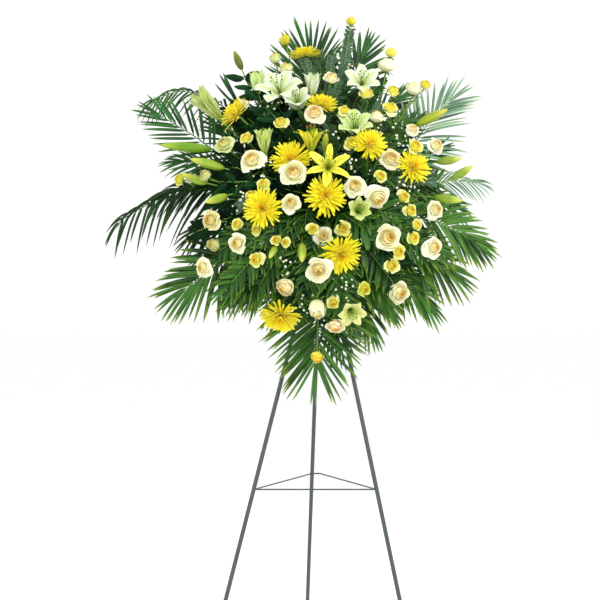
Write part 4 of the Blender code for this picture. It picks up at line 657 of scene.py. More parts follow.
def rose_head(pile, place, turned, radius, petals, openness, tint, rng):
    """A rose. Petal i of n, from the heart out, is a patch of a surface of revolution at the golden angle
    times i. Its profile is a quadratic curve from the base over a belly to the lip, in radius and height.
    With q = i/(n-1) the lips lie further out as q^1.2 and lower as q^1.8. The outer ones roll outwards and
    ruffle, and each patch has one edge tucked in and the other out. A rose that has opened less has its
    lips nearer to the axis and less far down, a slimmer belly and hardly a roll. It is as wide as the table
    says all the same."""
    rows, columns = (8, 9) if petals > 16 else (6, 7)
    radius = radius / max(0.34 + 0.42 * openness, 0.12 + 0.94 * openness)
    q = (np.arange(petals) / (petals - 1))[:, None, None]
    u = np.linspace(0.0, 1.0, rows)[None, :, None]
    v = np.linspace(-1.0, 1.0, columns)[None, None, :]
    chance = rng.uniform(-1.0, 1.0, (6, petals, 1, 1))
    reach = u * (1.0 - 0.17 * np.abs(v + 0.15 * chance[4]) ** 2.6 + 0.03 * (1.0 - np.abs(v)) ** 2)
    lip = 0.05 + openness * (0.02 + 0.92 * q**1.2) * (1.0 + 0.12 * chance[0])
    sunk = (0.70 * openness - 0.20) * q**1.8
    lip_height = 0.44 + 0.08 * np.sin(math.pi * q**0.8) - sunk + 0.10 * chance[1] * q
    belly = (0.24 + 0.66 * q**0.9) * (0.6 + 0.4 * openness)
    belly_height = -0.12 - 0.22 * q
    a, b, c = (1 - reach) ** 2, 2 * reach * (1 - reach), reach**2
    rho = a * (0.05 + 0.08 * q) + b * belly + c * lip
    height = a * -0.54 + b * belly_height + c * lip_height
    roll = 0.42 * openness**2 * ease((q - 0.25) / 0.6) * (1.0 + 0.6 * chance[2])
    rho = rho + roll * 0.26 * reach**5
    height = height - roll * 0.8 * reach**8
    ruffle = reach**3 * (0.15 + q)
    rho = rho * (1.0 + 0.06 * v) + 0.065 * ruffle * np.sin(4.4 * v + 9.0 * chance[3])
    height = height + 0.075 * ruffle * np.sin(6.2 * v + 7.0 * chance[0])
    half_turn = np.radians(112.0 - 56.0 * q**0.6) * (0.72 + 0.28 * u)
    angle = GOLDEN_ANGLE * np.arange(petals)[:, None, None] + 0.25 * chance[5] * q + v * half_turn
    grid = np.stack(np.broadcast_arrays(rho * np.cos(angle), rho * np.sin(angle), height), -1)
    grid = place + (grid * radius) @ turned.T
    tones = grid_tones(petals, rows, columns, q[:, 0, 0], rng.uniform(0.0, 1.0, petals))
    pile.sheets(grid, tones, 0.014 * radius + 0.0002, 0, tint)
    calyx = ((0, -0.70), (0.07, -0.68), (0.13, -0.60), (0.14, -0.52), (0.09, -0.44), (0, -0.42))
    pile.turned(calyx, 8, turned, place, radius, slot=1)
    out, across = round_axes(2.0 * math.pi * (np.arange(5) + 0.3) / 5)
    root = place + radius * (out * 0.08 + (0, 0, -0.55)) @ turned.T
    along = unit(out + np.array((0, 0, -0.25))) @ turned.T
    outline = leaf_outline(np.linspace(0, 1, 6), 0.3, 1.0)
    sepals = leaf_grid(root, along, across @ turned.T, 0.62 * radius, 0.20 * radius, outline, 0.15, 0.2)
    pile.sheets(sepals, grid_tones(5, 6, 3, 0.3, 0.5), SEPAL_SKIN, 1)


def mum_head(pile, place, turned, radius, florets, tint, rng):
    """A spider chrysanthemum. Floret i of n starts on a small boss at the golden angle times i, with the
    share q = sqrt(i/n) of the way out. It rises from steep at the heart to a little below level at the rim,
    grows longer with q, is a channel across and curls up towards its tip."""
    rows, columns = 7, 3
    q = np.sqrt((np.arange(florets) + 0.5) / florets)
    chance = rng.uniform(-1.0, 1.0, (5, florets))
    rise = np.radians(84.0 - 96.0 * q**1.05 + 7.0 * chance[1])
    outward, across = round_axes(GOLDEN_ANGLE * np.arange(florets) + 0.10 * chance[0])
    along = outward * np.cos(rise)[:, None] + FORWARD * np.sin(rise)[:, None]
    swerve = 0.18 * chance[4]
    along = unit(along + across * swerve[:, None])
    across = unit(across - along * (across * along).sum(-1, keepdims=True))
    length = (0.20 + 0.74 * q**0.85) * (1.0 + 0.13 * chance[2])
    root = outward * (0.13 * q)[:, None] + FORWARD * (0.10 * (1.0 - q**2) - 0.03)[:, None]
    u = np.linspace(0.0, 1.0, rows)
    outline = np.interp(u, (0.0, 0.25, 0.6, 0.85, 1.0), (0.45, 0.72, 0.95, 1.0, 0.45))
    width = 0.082 + 0.030 * q + 0.012 * chance[3]
    grid = leaf_grid(root, along, across, length, width, outline, 0.0, 0.22)
    lift = np.cross(along, across)[:, None, None]
    u = u[None, :, None, None]
    curl = (0.08 + 0.12 * q + 0.06 * chance[3])[:, None, None, None]
    grid = grid + np.sign(lift[..., 2:]) * lift * curl * length[:, None, None, None] * u**2.5
    grid = place + (grid * radius) @ turned.T
    tones = grid_tones(florets, rows, columns, q, rng.uniform(0, 1, florets))
    pile.sheets(grid, tones, FLORET_SKIN, 0, tint)
    calyx = ((0, -0.26), (0.07, -0.24), (0.17, -0.14), (0.19, -0.06), (0.12, 0.02), (0, 0.06))
    pile.turned(calyx, 10, turned, place, radius, slot=1)


def lily_head(pile, place, turned, radius, closed, tint, rng, pale):
    """A lily of three broad and three narrow tepals. A tepal's middle line is a smooth curve from the neck
    up the funnel and out to a tip that bends back; closing it narrows its radius by 45 % and lifts each
    point by 1.15 times its radius. Across, it is a shallow channel with a sunken rib and waved edges."""
    rows, columns = 11, 7
    radial = np.array((0.05, 0.10, 0.22, 0.48, 0.78, 1.0))
    height = np.array((-0.56, -0.42, -0.24, -0.10, -0.03, -0.14))
    height = height - closed * np.interp(radial, (0.05, 0.3), (0.45, 0.15))
    height = height + 1.15 * closed * radial
    radial = radial * (1 - 0.45 * closed)
    middle = smooth_path(np.stack([radial, np.zeros(6), height], -1), np.linspace(0, 1, rows))
    u = np.linspace(0.0, 1.0, rows)[:, None]
    v = np.linspace(-1.0, 1.0, columns)[None]
    normal = np.cross(unit(np.gradient(middle, axis=0)), (0.0, 1.0, 0.0))
    # Half widths of a broad and of a narrow tepal: full on the pale kind, strap-like on the yellow one
    halves = (0.390, 0.300) if pale else (0.185 + 0.13 * closed, 0.150 + 0.06 * closed)
    grids = []
    for number in range(6):
        narrow = number % 2
        chance = rng.uniform(-1.0, 1.0, 3)
        half = halves[narrow] * leaf_outline(u, 0.50, 0.75, 0.04) * (1 - 0.1 * closed)
        half = np.maximum(half, np.where(u < 0.4, 0.055 + 0.16 * u, 0.0))
        channel = (0.30 * v**2 - 0.10 * np.exp(-(v * 5) ** 2)) * half
        waves = 0.03 * np.sin(13.0 * u + 6.0 * chance[0] + 1.5 * v) * v**2 * u
        lift = channel * (1.0 - 1.5 * u * (1 - closed)) + waves
        back = -0.025 * narrow + 0.05 * chance[1] * u
        grid = middle[:, None] + np.array((0, 1, 0)) * (half * v)[..., None]
        grid = grid - normal[:, None] * (lift + back)[..., None]
        spin = np.array(Matrix.Rotation(math.pi / 3 * number + 0.10 * chance[2], 3, "Z"))
        grids.append(grid @ spin.T)
    grid = place + (np.array(grids) * radius) @ turned.T
    pile.sheets(grid, grid_tones(6, rows, columns, 0.5, rng.uniform(0, 1, 6)), TEPAL_SKIN, 0, tint)
    # Six stamens round the pistil, which is number 6
    anther = ((0, -0.5), (0.13, -0.38), (0.17, 0.0), (0.13, 0.38), (0, 0.5))
    for number in range(7):
        angle = math.pi / 3 * number + 0.5
        reach, above, size = (0.0, 0.08, 0.006) if number == 6 else (0.26 * (1 - 0.5 * closed), 0.0, 0.009)
        tip_height = 0.30 + 0.45 * closed
        direction = np.array((math.cos(angle), math.sin(angle), 0.0))
        base = direction * 0.03 + FORWARD * (-0.45 - 0.3 * closed)
        tip = direction * reach + FORWARD * (tip_height + above)
        bend = base + FORWARD * 0.4 + direction * 0.02
        path = place + (bezier(base, bend, bend, tip, 6) * radius) @ turned.T
        pile.tube(path, 0.0007, 4, slot=1, tint="#F0FFD0")
        axis = unit(np.cross(direction, (0.0, 0.0, 1.0)) + 0.2 * FORWARD) @ turned.T
        pile.turned(anther, 6, turn_to(axis), path[-1], size, slot=1 if pale else 2, tint="#FFFFC0")
    neck = ((0, -0.66 - 0.5 * closed), (0.07, -0.63 - 0.5 * closed), (0.09, -0.5 - 0.4 * closed), (0, -0.36))
    pile.turned(neck, 8, turned, place, radius, slot=1)


def bud_head(pile, place, turned, length, tint):
    """A lily bud: a spindle, fullest above its middle, with three broad ribs and a blunt tip. Its radius is
    a share of its length, which is smaller for a long bud, times sin(pi u^0.85)^0.75."""
    u = np.linspace(0.0, 1.0, 12)
    share = np.interp(length, (0.045, 0.08, 0.13), (0.19, 0.15, 0.088))
    profile = np.stack([share * np.sin(math.pi * u**0.85) ** 0.75, u - 0.5], -1)
    pile.turned(profile, 15, turned, place, length, lobes=(0.10, 3), slot=0, layer=0.5, tint=tint)


def bunches():
    """Every bunch as its name, its kind and its heads. A head is its place, its width and what is its own."""
    tables = {"mum": MUMS, "rose": CREAM_ROSES, "spray": SPRAY_ROSES, "lily": LILIES, "bud": LILY_BUDS}
    for kind, table in tables.items():
        for name, rows in table.items():
            heads = []
            for row in rows:
                s, t, width, lift = metres(row[:4])
                heads.append((dome_point(s, t, lift), width, row[4] if len(row) > 4 else {}))
            yield name, kind, heads


def front_holes():
    """The grid of places where flower stalks may enter the front of the foam."""
    steps = np.arange(HOLE_ROWS) - (HOLE_ROWS - 1) / 2
    return [
        np.array((FOAM_CENTRE[0] + HOLE_SPACING[0] * i, FOAM_CENTRE[1] + HOLE_SPACING[1] * j, FOAM_FRONT))
        for j in steps
        for i in steps
    ]


def choose_holes():
    """Gives each bunch the free front hole nearest its own direction, the outermost bunches first, as the
    part's source does, and returns them with the holes that stay free, from left to right."""
    middles = {name: np.mean([place for place, _, _ in heads], axis=0) for name, _, heads in bunches()}
    centre = np.array(FOAM_CENTRE)
    free = front_holes()
    chosen = {}
    for name in sorted(middles, key=lambda key: (-np.linalg.norm(middles[key][:2]), key)):
        wanted = centre + HOLE_PULL * (middles[name][:2] - centre)
        best = min(range(len(free)), key=lambda i: float(np.linalg.norm(free[i][:2] - wanted)))
        chosen[name] = free.pop(best)
    return chosen, sorted(free, key=lambda place: place[0])


HOLES, FREE_HOLES = choose_holes()


def stalk_top(hole):
    """Where a bunch branches, in front of its hole."""
    return hole + FORWARD * STALK_REACH


def stem_path(start, foot, axis, count=10):
    """A stem from a stalk's top to a head's foot: a cubic curve that leaves the foam square and meets the
    head."""
    reach = float(np.linalg.norm(foot - start))
    return bezier(start, start + 0.12 * reach * FORWARD, foot - axis * 0.30 * reach, foot, count)


def add_stem(pile, hole, foot, axis, radius, first):
    """A bunch's first stem goes on down into its hole, and the others branch from it."""
    path = stem_path(stalk_top(hole) - (0.0 if first else BRANCH_OVERLAP) * FORWARD, foot, axis)
    radii = np.full(len(path), radius)
    if first:
        path = np.vstack([hole - FORWARD * (HOLE_DEPTH - STALK_GAP), path])
        radii = np.concatenate([[STALK_RADIUS], [STALK_RADIUS], radii[1:]])
    pile.tube(path, radii, 7, slot=1)


# Materials

RAMP, MIX, MATH = "ShaderNodeValToRGB", "ShaderNodeMix", "ShaderNodeMath"
RANGE, NOISE = "ShaderNodeMapRange", "ShaderNodeTexNoise"
ATTRIBUTE, COORDINATES = "ShaderNodeAttribute", "ShaderNodeTexCoord"
# Settings of a mix that lays colour 7 over colour 6 by share 0, and of one that darkens 6 by 7
LAID = {"out": 2, "data_type": "RGBA"}
SHADED = {"out": 2, "data_type": "RGBA", "blend_type": "MULTIPLY"}


def add_node(tree, kind, inputs=None, out=0, stops=(), **settings):
    """Adds a node with its settings and returns one of its outputs. An input whose value is another node's
    output is linked to it, and any other value is set on the socket. Stops are a ramp's (position, hex
    colour) pairs."""
    node = tree.nodes.new(kind)
    for name, value in settings.items():
        setattr(node, name, value)
    for name, value in (inputs or {}).items():
        if isinstance(value, bpy.types.NodeSocket):
            tree.links.new(value, node.inputs[name])
        else:
            node.inputs[name].default_value = value
    while stops and len(node.color_ramp.elements) < len(stops):
        node.color_ramp.elements.new(1.0)
    for number, (position, code) in enumerate(stops):
        node.color_ramp.elements[number].position = position
        node.color_ramp.elements[number].color = linear(code)
    return node.outputs[out]


def start_material(name, **shader_values):
    """A new material with its Principled shader's constants set on the shader's own sockets."""
    material = bpy.data.materials.new(name)
    material.use_nodes = True
    tree = material.node_tree
    shader = tree.nodes["Principled BSDF"]
    for key, value in shader_values.items():
        shader.inputs[key.replace("_", " ")].default_value = value
    return material, tree, shader


def tone_channels(tree):
    """Outputs along, across, layer and chance of the piece's tone attribute."""
    colour = add_node(tree, ATTRIBUTE, None, "Color", attribute_name="tone")
    chance = add_node(tree, ATTRIBUTE, None, "Alpha", attribute_name="tone")
    split = [add_node(tree, "ShaderNodeSeparateColor", {"Color": colour}, channel) for channel in range(3)]
    return *split, chance


def from_rib(tree, across):
    """How far a point lies from the middle of its leaf or petal: the amount of across - 0.5."""
    aside = add_node(tree, MATH, {0: across, 1: 0.5}, operation="SUBTRACT")
    return add_node(tree, MATH, {0: aside}, operation="ABSOLUTE")


def dress(tree, shader, colour, relief, depth, tinted=True):
    """Gives the shader its colour, multiplied by the piece's tint, and a relief whose full swing is a real
    depth in metres."""
    if tinted:
        tint = add_node(tree, ATTRIBUTE, None, "Color", attribute_name="tint")
        colour = add_node(tree, MIX, {0: 1.0, 6: colour, 7: tint}, **SHADED)
    tree.links.new(colour, shader.inputs["Base Color"])
    # A material with painted light of its own gives off its base colour from the emission
    if shader.inputs["Emission Strength"].default_value > 0.0:
        tree.links.new(colour, shader.inputs["Emission Color"])
    normal = add_node(tree, "ShaderNodeBump", {"Height": relief, "Strength": 0.6, "Distance": depth})
    tree.links.new(normal, shader.inputs["Normal"])


def vein(tree, shader, colour, tones, grain, stops, share, depth):
    """Fine lengthwise veins, which shade a skin's colour by a ramp and a share and are its relief. They are
    noise on across times the first number of the grain, along times the second, and the sheet's chance."""
    along, across, _, chance = tones
    steps = [
        add_node(tree, MATH, {0: value, 1: factor}, operation="MULTIPLY")
        for value, factor in ((across, grain[0]), (along, grain[1]), (chance, 40.0))
    ]
    place = add_node(tree, "ShaderNodeCombineXYZ", dict(zip("XYZ", steps)))
    veins = add_node(tree, NOISE, {"Vector": place, "Scale": 1.0, "Detail": 3.0})
    shade = add_node(tree, RAMP, {"Fac": veins}, stops=stops)
    colour = add_node(tree, MIX, {0: share, 6: colour, 7: shade}, **SHADED)
    dress(tree, shader, colour, veins, depth)


def petal_material(name, layers, base, rim, count, roughness, shaded_base_end=0.45, painted_glow=0.0):
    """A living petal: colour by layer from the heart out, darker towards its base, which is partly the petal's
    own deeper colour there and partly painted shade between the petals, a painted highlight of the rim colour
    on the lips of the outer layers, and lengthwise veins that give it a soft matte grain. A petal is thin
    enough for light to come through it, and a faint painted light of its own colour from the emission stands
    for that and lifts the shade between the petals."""
    _, tree, shader = start_material(
        name, Roughness=roughness, IOR=1.40, Sheen_Weight=0.15, Sheen_Roughness=0.5, Specular_IOR_Level=0.35,
        Subsurface_Weight=0.15, Subsurface_Scale=0.004, Subsurface_Radius=(1.0, 0.85, 0.40),
        Emission_Strength=painted_glow,
    )
    tones = along, _, layer, chance = tone_channels(tree)
    colour = add_node(tree, RAMP, {"Fac": layer}, stops=layers)
    # Darker towards the base: partly the petal's own deeper colour and partly painted shade between the petals
    low = add_node(tree, RANGE, {"Value": along, "From Max": shaded_base_end, "To Min": 1.0, "To Max": 0.0})
    colour = add_node(tree, MIX, {0: low, 6: colour, 7: linear(base)}, **LAID)
    # Painted highlight: the lips of the outer layers take the rim colour
    high = add_node(tree, RANGE, {"Value": along, "From Min": 0.80, "To Max": 0.7})
    outer = add_node(tree, MATH, {0: high, 1: layer}, operation="MULTIPLY")
    colour = add_node(tree, MIX, {0: outer, 6: colour, 7: linear(rim)}, **LAID)
    own = add_node(tree, RAMP, {"Fac": chance}, stops=((0.0, "#F6F2E8"), (1.0, PLAIN)))
    colour = add_node(tree, MIX, {0: 1.0, 6: colour, 7: own}, **SHADED)
    vein(tree, shader, colour, tones, (count, 2.0), ((0.25, "#F2ECDC"), (0.6, PLAIN)), 0.55, 0.0004)


def lily_material(name, centre, edge, rib, painted_glow):
    """A waxy lily tepal: pale edge, coloured middle band and a green rib that fades towards the tip, with a
    faint painted light of its own colour from the emission that lifts its shade.
    """
    _, tree, shader = start_material(
        name, Roughness=0.42, IOR=1.42, Coat_Weight=0.10, Coat_Roughness=0.3, Subsurface_Weight=0.10,
        Subsurface_Scale=0.004, Subsurface_Radius=(0.9, 1.0, 0.5), Emission_Strength=painted_glow,
    )
    tones = along, across, *_ = tone_channels(tree)
    aside = from_rib(tree, across)
    colour = add_node(tree, RAMP, {"Fac": aside}, stops=((0.05, centre), (0.38, edge)))
    limits = {"From Min": 0.03, "From Max": 0.12, "To Min": 0.8, "To Max": 0.0}
    band = add_node(tree, RANGE, {"Value": aside, **limits})
    fade = add_node(tree, RANGE, {"Value": along, "From Min": 0.35, "To Min": 1.0, "To Max": 0.1})
    ribbed = add_node(tree, MATH, {0: band, 1: fade}, operation="MULTIPLY")
    colour = add_node(tree, MIX, {0: ribbed, 6: colour, 7: linear(rib)}, **LAID)
    limits = {"From Min": 0.1, "From Max": 0.45, "To Min": 0.85, "To Max": 0.0}
    throat = add_node(tree, RANGE, {"Value": along, **limits})
    colour = add_node(tree, MIX, {0: throat, 6: colour, 7: linear(rib)}, **LAID)
    vein(tree, shader, colour, tones, (26.0, 1.2), ((0.25, "#DEE6CC"), (0.6, PLAIN)), 0.5, 0.0005)


def leaf_material(name, dark, light, tip, rib, roughness, edge=None, tip_start=0.75, coat=0.15, gloss=0.32):
    """A leaf with a waxy skin: two greens by chance and place, a paler rib, parallel veins and a dry tip."""
    _, tree, shader = start_material(
        name, Roughness=roughness, IOR=1.45, Coat_Weight=coat, Coat_Roughness=0.25, Specular_IOR_Level=gloss,
    )
    tones = along, across, _, chance = tone_channels(tree)
    where = add_node(tree, COORDINATES, None, "Object")
    patches = add_node(tree, NOISE, {"Vector": where, "Scale": 14.0, "Detail": 2.0})
    wide = add_node(tree, MATH, {0: patches, 1: 0.9}, operation="MULTIPLY")
    own = add_node(tree, MATH, {0: chance, 1: 0.5}, operation="MULTIPLY")
    share = add_node(tree, MATH, {0: wide, 1: own}, operation="ADD")
    colour = add_node(tree, RAMP, {"Fac": share}, stops=((0.42, dark), (0.98, light)))
    aside = from_rib(tree, across)
    limits = {"From Min": 0.02, "From Max": 0.16, "To Min": 0.65, "To Max": 0.0}
    middle = add_node(tree, RANGE, {"Value": aside, **limits})
    colour = add_node(tree, MIX, {0: middle, 6: colour, 7: linear(rib)}, **LAID)
    if edge:
        ragged = add_node(tree, MATH, {0: patches, 1: -0.3, 2: aside}, operation="MULTIPLY_ADD")
        border = add_node(tree, RANGE, {"Value": ragged, "From Min": 0.22, "From Max": 0.32})
        colour = add_node(tree, MIX, {0: border, 6: colour, 7: linear(edge)}, **LAID)
    end = add_node(tree, RANGE, {"Value": along, "From Min": tip_start, "To Max": 0.8})
    colour = add_node(tree, MIX, {0: end, 6: colour, 7: linear(tip)}, **LAID)
    vein(tree, shader, colour, tones, (16.0, 1.0), ((0.3, "#B4BCB0"), (0.62, PLAIN)), 0.6, 0.0006)


def stem_material(name, low, high):
    """A green stem: smooth skin, paler towards the head, with faint lengthwise ribs."""
    _, tree, shader = start_material(name, Roughness=0.5, IOR=1.42, Specular_IOR_Level=0.2)
    tones = tone_channels(tree)
    colour = add_node(tree, RAMP, {"Fac": tones[0]}, stops=((0.0, low), (1.0, high)))
    vein(tree, shader, colour, tones, (14.0, 3.0), ((0.3, "#A8B890"), (0.65, PLAIN)), 0.5, 0.0003)


def solid_material(name, first, second, scale, roughness, bump, texture=NOISE):
    """A finish of two close colours by a pattern of a given scale per metre, which is its relief too."""
    material, tree, shader = start_material(name)
    where = add_node(tree, COORDINATES, None, "Object")
    pattern = add_node(tree, texture, {"Vector": where, "Scale": scale})
    wide = add_node(tree, NOISE, {"Vector": where, "Scale": scale / 12, "Detail": 3.0})
    near = add_node(tree, RAMP, {"Fac": pattern}, stops=((0.2, first), (0.8, second)))
    far = add_node(tree, RAMP, {"Fac": wide}, stops=((0.3, first), (0.7, second)))
    colour = add_node(tree, MIX, {0: 0.5, 6: near, 7: far}, **LAID)
    rough = add_node(tree, RANGE, {"Value": wide, "To Min": roughness - 0.06, "To Max": roughness + 0.08})
    tree.links.new(rough, shader.inputs["Roughness"])
    dress(tree, shader, colour, pattern, bump, tinted=False)
    return material


def hue(colour):
    """A colour property as a hex code, for the ramps."""
    values = np.clip(np.array(colour), 0.0, 1.0)
    coded = np.where(values <= 0.0031308, values * 12.92, 1.055 * values ** (1 / 2.4) - 0.055)
    return "#" + "".join(f"{int(round(255 * x)):02X}" for x in coded)


def finishes():
    """The materials by their names, with the spray's own made at the first call."""
    if "living stem" in bpy.data.materials:
        return bpy.data.materials
    c = bpy.context.scene.spray_colours
    # Rose petal, a matte velvety skin: golden heart, ivory outside, faint yellow base darkened as painted
    # shade between the petals, a painted highlight on the outer lips and faint painted light of its own colour
    ivory = ((0.0, hue(c.rose_heart)), (0.24, "#EEDC80"), (0.55, "#EEECBC"), (1.0, hue(c.rose)))
    petal_material("ivory rose petal", ivory, "#CCCA72", "#FFFFF6", 22.0, 0.55, 0.58, 0.10)
    # Small rose petal, the same skin with the same painted shade, painted highlight and painted light of its
    # own: orange heart, golden outside
    golden = ((0.0, hue(c.spray_heart)), (0.26, "#F4E024"), (0.60, hue(c.spray_rose)), (1.0, "#EEF2A8"))
    petal_material("golden spray rose petal", golden, "#D6DA22", "#FAFCBC", 18.0, 0.55, 0.40, 0.08)
    # Chrysanthemum floret, thin and slightly glossy: golden eye, bright lemon straps, deeper where they root,
    # partly their own colour and partly painted shade, with a painted highlight at the tips and faint painted
    # light of their own colour
    lemon = ((0.0, "#E8A410"), (0.16, hue(c.mum_heart)), (0.36, "#F6E612"), (1.0, hue(c.mum)))
    petal_material("yellow chrysanthemum floret", lemon, "#EECE0A", "#FFFC48", 6.0, 0.50, 0.40, 0.03)
    # Lily tepal, waxy: white-green with a green rib, and a yellow kind, both with faint painted light of their
    # own colour
    lily_material("white-green lily tepal", "#D6DFAA", hue(c.lily), "#B6C86E", 0.01)
    lily_material("yellow lily tepal", "#DED41C", "#ECE848", "#9CAC24", 0.02)
    # Lily bud skin, waxy: green at the foot and along the ribs, yellow-green at the tip
    leaf_material("lily bud skin", "#7C9C30", hue(c.bud), "#DEDC5A", "#86A236", 0.42, tip_start=0.6)
    # Palm leaflet, tough and satin: deep green with a paler rib and parallel veins
    palm = hue(c.palm), hue(c.palm_light)
    leaf_material("palm leaflet", *palm, "#A8BE50", "#5C9440", 0.42, tip_start=0.74, coat=0.0, gloss=0.26)
    # The same leaf with painted light: paler greens that paint full light and the sheen of its wax on it
    leaf_material("pale palm leaflet", "#3C6C4A", "#86B082", "#C4D6A8", "#A4C4A0", 0.40, tip_start=0.72)
    # Small soft leaf with cream edges
    leaf_material("variegated leaf", "#0E2C16", "#28522E", "#5C8054", "#3C6840", 0.5, edge="#90AC86")
    # Broad and filler leaf, a dark green darkened further, nearly to black, as painted shade inside the spray,
    # with a dull waxy skin
    leaf_material("dark waxy leaf", "#061A0C", "#143C1C", "#1E5222", "#1F4E26", 0.55, coat=0.0, gloss=0.08)
    # Tiny white floret, matte, greener towards its base and with a faint painted highlight at its tips
    white = ((0.0, "#DCE6C8"), (1.0, "#EEF4E0"))
    petal_material("baby's breath floret", white, "#B8CC90", "#F4F8EA", 5.0, 0.6, 0.4, 0.0)
    # Anther, dry pollen: rough and rusty, its grains drawn 1 mm wide where real ones are far finer
    solid_material("lily anther", "#6E3A12", "#A8641C", 900.0, 0.85, 0.0003)
    # Green stem, smooth skin
    stem_material("living stem", "#17401A", "#7CA644")
    return bpy.data.materials


def seed_of(name):
    """A seed that a name always gives."""
    return sum((i + 1) * ord(letter) for i, letter in enumerate(name))


def make_blooms(kinds, sizes):
    """Builds the bunches of the given kinds, each as one piece that replaces its own node."""
    finish = finishes()
    for name, kind, heads in bunches():
        if kind not in kinds:
            continue
        petal, slot_name, stem_radius, stem_end = KINDS[kind]
        pale = name != "lily_yellow"
        rng = np.random.default_rng(seed_of(name))
        pile = Pile()
        for number, (place, width, own) in enumerate(heads):
            axis = unit(own.get("facing", place + (0.0, 0.0, AIM_DEPTH)))
            turned = turn_to(axis, rng.uniform(0.0, 2.0 * math.pi))
            radius = width / 2
            tint = own.get("tint", PLAIN)
            foot = stem_end
            if kind == "mum":
                mum_head(pile, place, turned, radius, sizes.mum_florets, tint, rng)
            elif kind == "rose":
                rose_head(pile, place, turned, radius, sizes.rose_petals, own.get("opened", 1.0), tint, rng)
            elif kind == "spray":
                rose_head(pile, place, turned, radius, sizes.spray_petals, own.get("opened", 0.9), tint, rng)
            elif kind == "lily":
                shown = radius * own.get("share", 1.25)
                lily_head(pile, place, turned, shown, own["closed"], tint, rng, pale)
                foot = stem_end - 0.5 * own["closed"]
            else:
                radius = width
                bud_head(pile, place, turned, radius, tint)
            add_stem(pile, HOLES[name], place + axis * radius * foot, axis, stem_radius, number == 0)
        petal = finish[petal if pale else "yellow lily tepal"]
        pile.finish("bloom_" + name, [petal, finish["living stem"], finish["lily anther"]], slot_name, [name])


def side_hole(side, along):
    """Where a frond's stalk enters a side face of the foam, and the way out."""
    middle = (FOAM_BACK + FOAM_FRONT) / 2
    s, t = FOAM_CENTRE
    way_out = {"left": (-1.0, 0.0), "right": (1.0, 0.0), "top": (0.0, 1.0), "bottom": (0.0, -1.0)}[side]
    place = np.array((s + way_out[0] * FOAM_HALF[0], t + way_out[1] * FOAM_HALF[1], middle))
    place[1 if side in ("left", "right") else 0] += along
    return place, np.array((*way_out, 0.0))


def stations(path, shares):
    """Places, tangents, sides and ridges at shares of the way along the points of a path."""
    steps = np.arange(len(path))
    place, *axes = (
        np.stack([np.interp(shares * (len(path) - 1), steps, values[:, k]) for k in range(3)], -1)
        for values in (path, *path_frames(path))
    )
    return place, *map(unit, axes)


def frond_body(pile, row, rng, buried):
    """A palm frond: a tapered rachis and two rows of leaflets. From the foot to the tip the leaflets'
    length and their angle to the rachis change with the share of the leafy part, the angle by a power of
    it."""
    side, along_side, knees, bare, pitch, width, lengths, angles, droop, tint = row
    hole, way_out = side_hole(side, along_side / 1000)
    lengths, pitch, width = metres(lengths), pitch / 10000, width / 10000
    knees = [hole, hole + way_out * HOLE_DEPTH, *map(metres, knees)]
    path = smooth_path(knees, np.linspace(0.0, 1.0, RACHIS_STEPS))
    pairs = max(3, int(path_length(path) * (1.0 - bare) / pitch))
    count = 2 * pairs
    number = np.arange(count)
    steps = (number // 2 + 0.3 * (number % 2) + rng.uniform(-0.12, 0.12, count)) / pairs
    share = np.clip(steps, 0.0, 1.0)
    root, ahead, aside, up = stations(path, bare + (1.0 - bare) * share)
    sign = np.where(number % 2 == 0, 1.0, -1.0)[:, None]
    chance = rng.uniform(-1.0, 1.0, (6, count))
    spread = np.radians(angles[0] + (angles[1] - angles[0]) * share ** angles[2] + 4.0 * chance[0])[:, None]
    size = (lengths[0] + (lengths[1] - lengths[0]) * share) * (1.0 + 0.08 * chance[1])
    size = size * (0.72 + 0.28 * ease(share / 0.18))
    out = (0.08 + 0.12 * chance[2])[:, None]
    along = unit(ahead * np.cos(spread) + aside * sign * np.sin(spread) + up * out)
    across = unit(np.cross(up, along)) * sign
    raised = np.cross(along, across)
    twist = np.radians(26.0) * chance[3][:, None]
    across = across * np.cos(twist) + raised * np.sin(twist)
    outline = leaf_outline(np.linspace(0, 1, LEAFLET_ROWS), 0.36, 0.55)
    widths = width * (1.0 + 0.14 * chance[4]) * (1.0 - 0.25 * share)
    fall = droop * (1.0 + 0.3 * chance[5])
    grid = leaf_grid(root, along, across, size, widths, outline, fall, 0.30, 0.03 * chance[2])
    tones = grid_tones(count, LEAFLET_ROWS, 3, share, rng.uniform(0, 1, count))
    pile.sheets(grid, tones, LEAF_SKIN, 0, tint)
    # Two leaflets end the rachis as a fork
    fork = unit(ahead[-1:] + aside[-1:] * np.array(((0.07,), (-0.05,))))
    tip, square = path[-1:].repeat(2, 0), aside[-1:].repeat(2, 0)
    end = leaf_grid(tip, fork, square, 0.9 * lengths[1], 0.7 * width, outline, droop, 0.30)
    pile.sheets(end, grid_tones(2, LEAFLET_ROWS, 3, 1.0, 0.5), LEAF_SKIN, 0, tint)
    foot = hole - way_out * (HOLE_DEPTH - STALK_GAP) * buried
    radii = RACHIS_RADIUS * np.linspace(1.0, 0.30, len(path) // 2 + 1)
    pile.tube(np.vstack([foot, path[::2]]), radii, 7, slot=1, tint=tint)


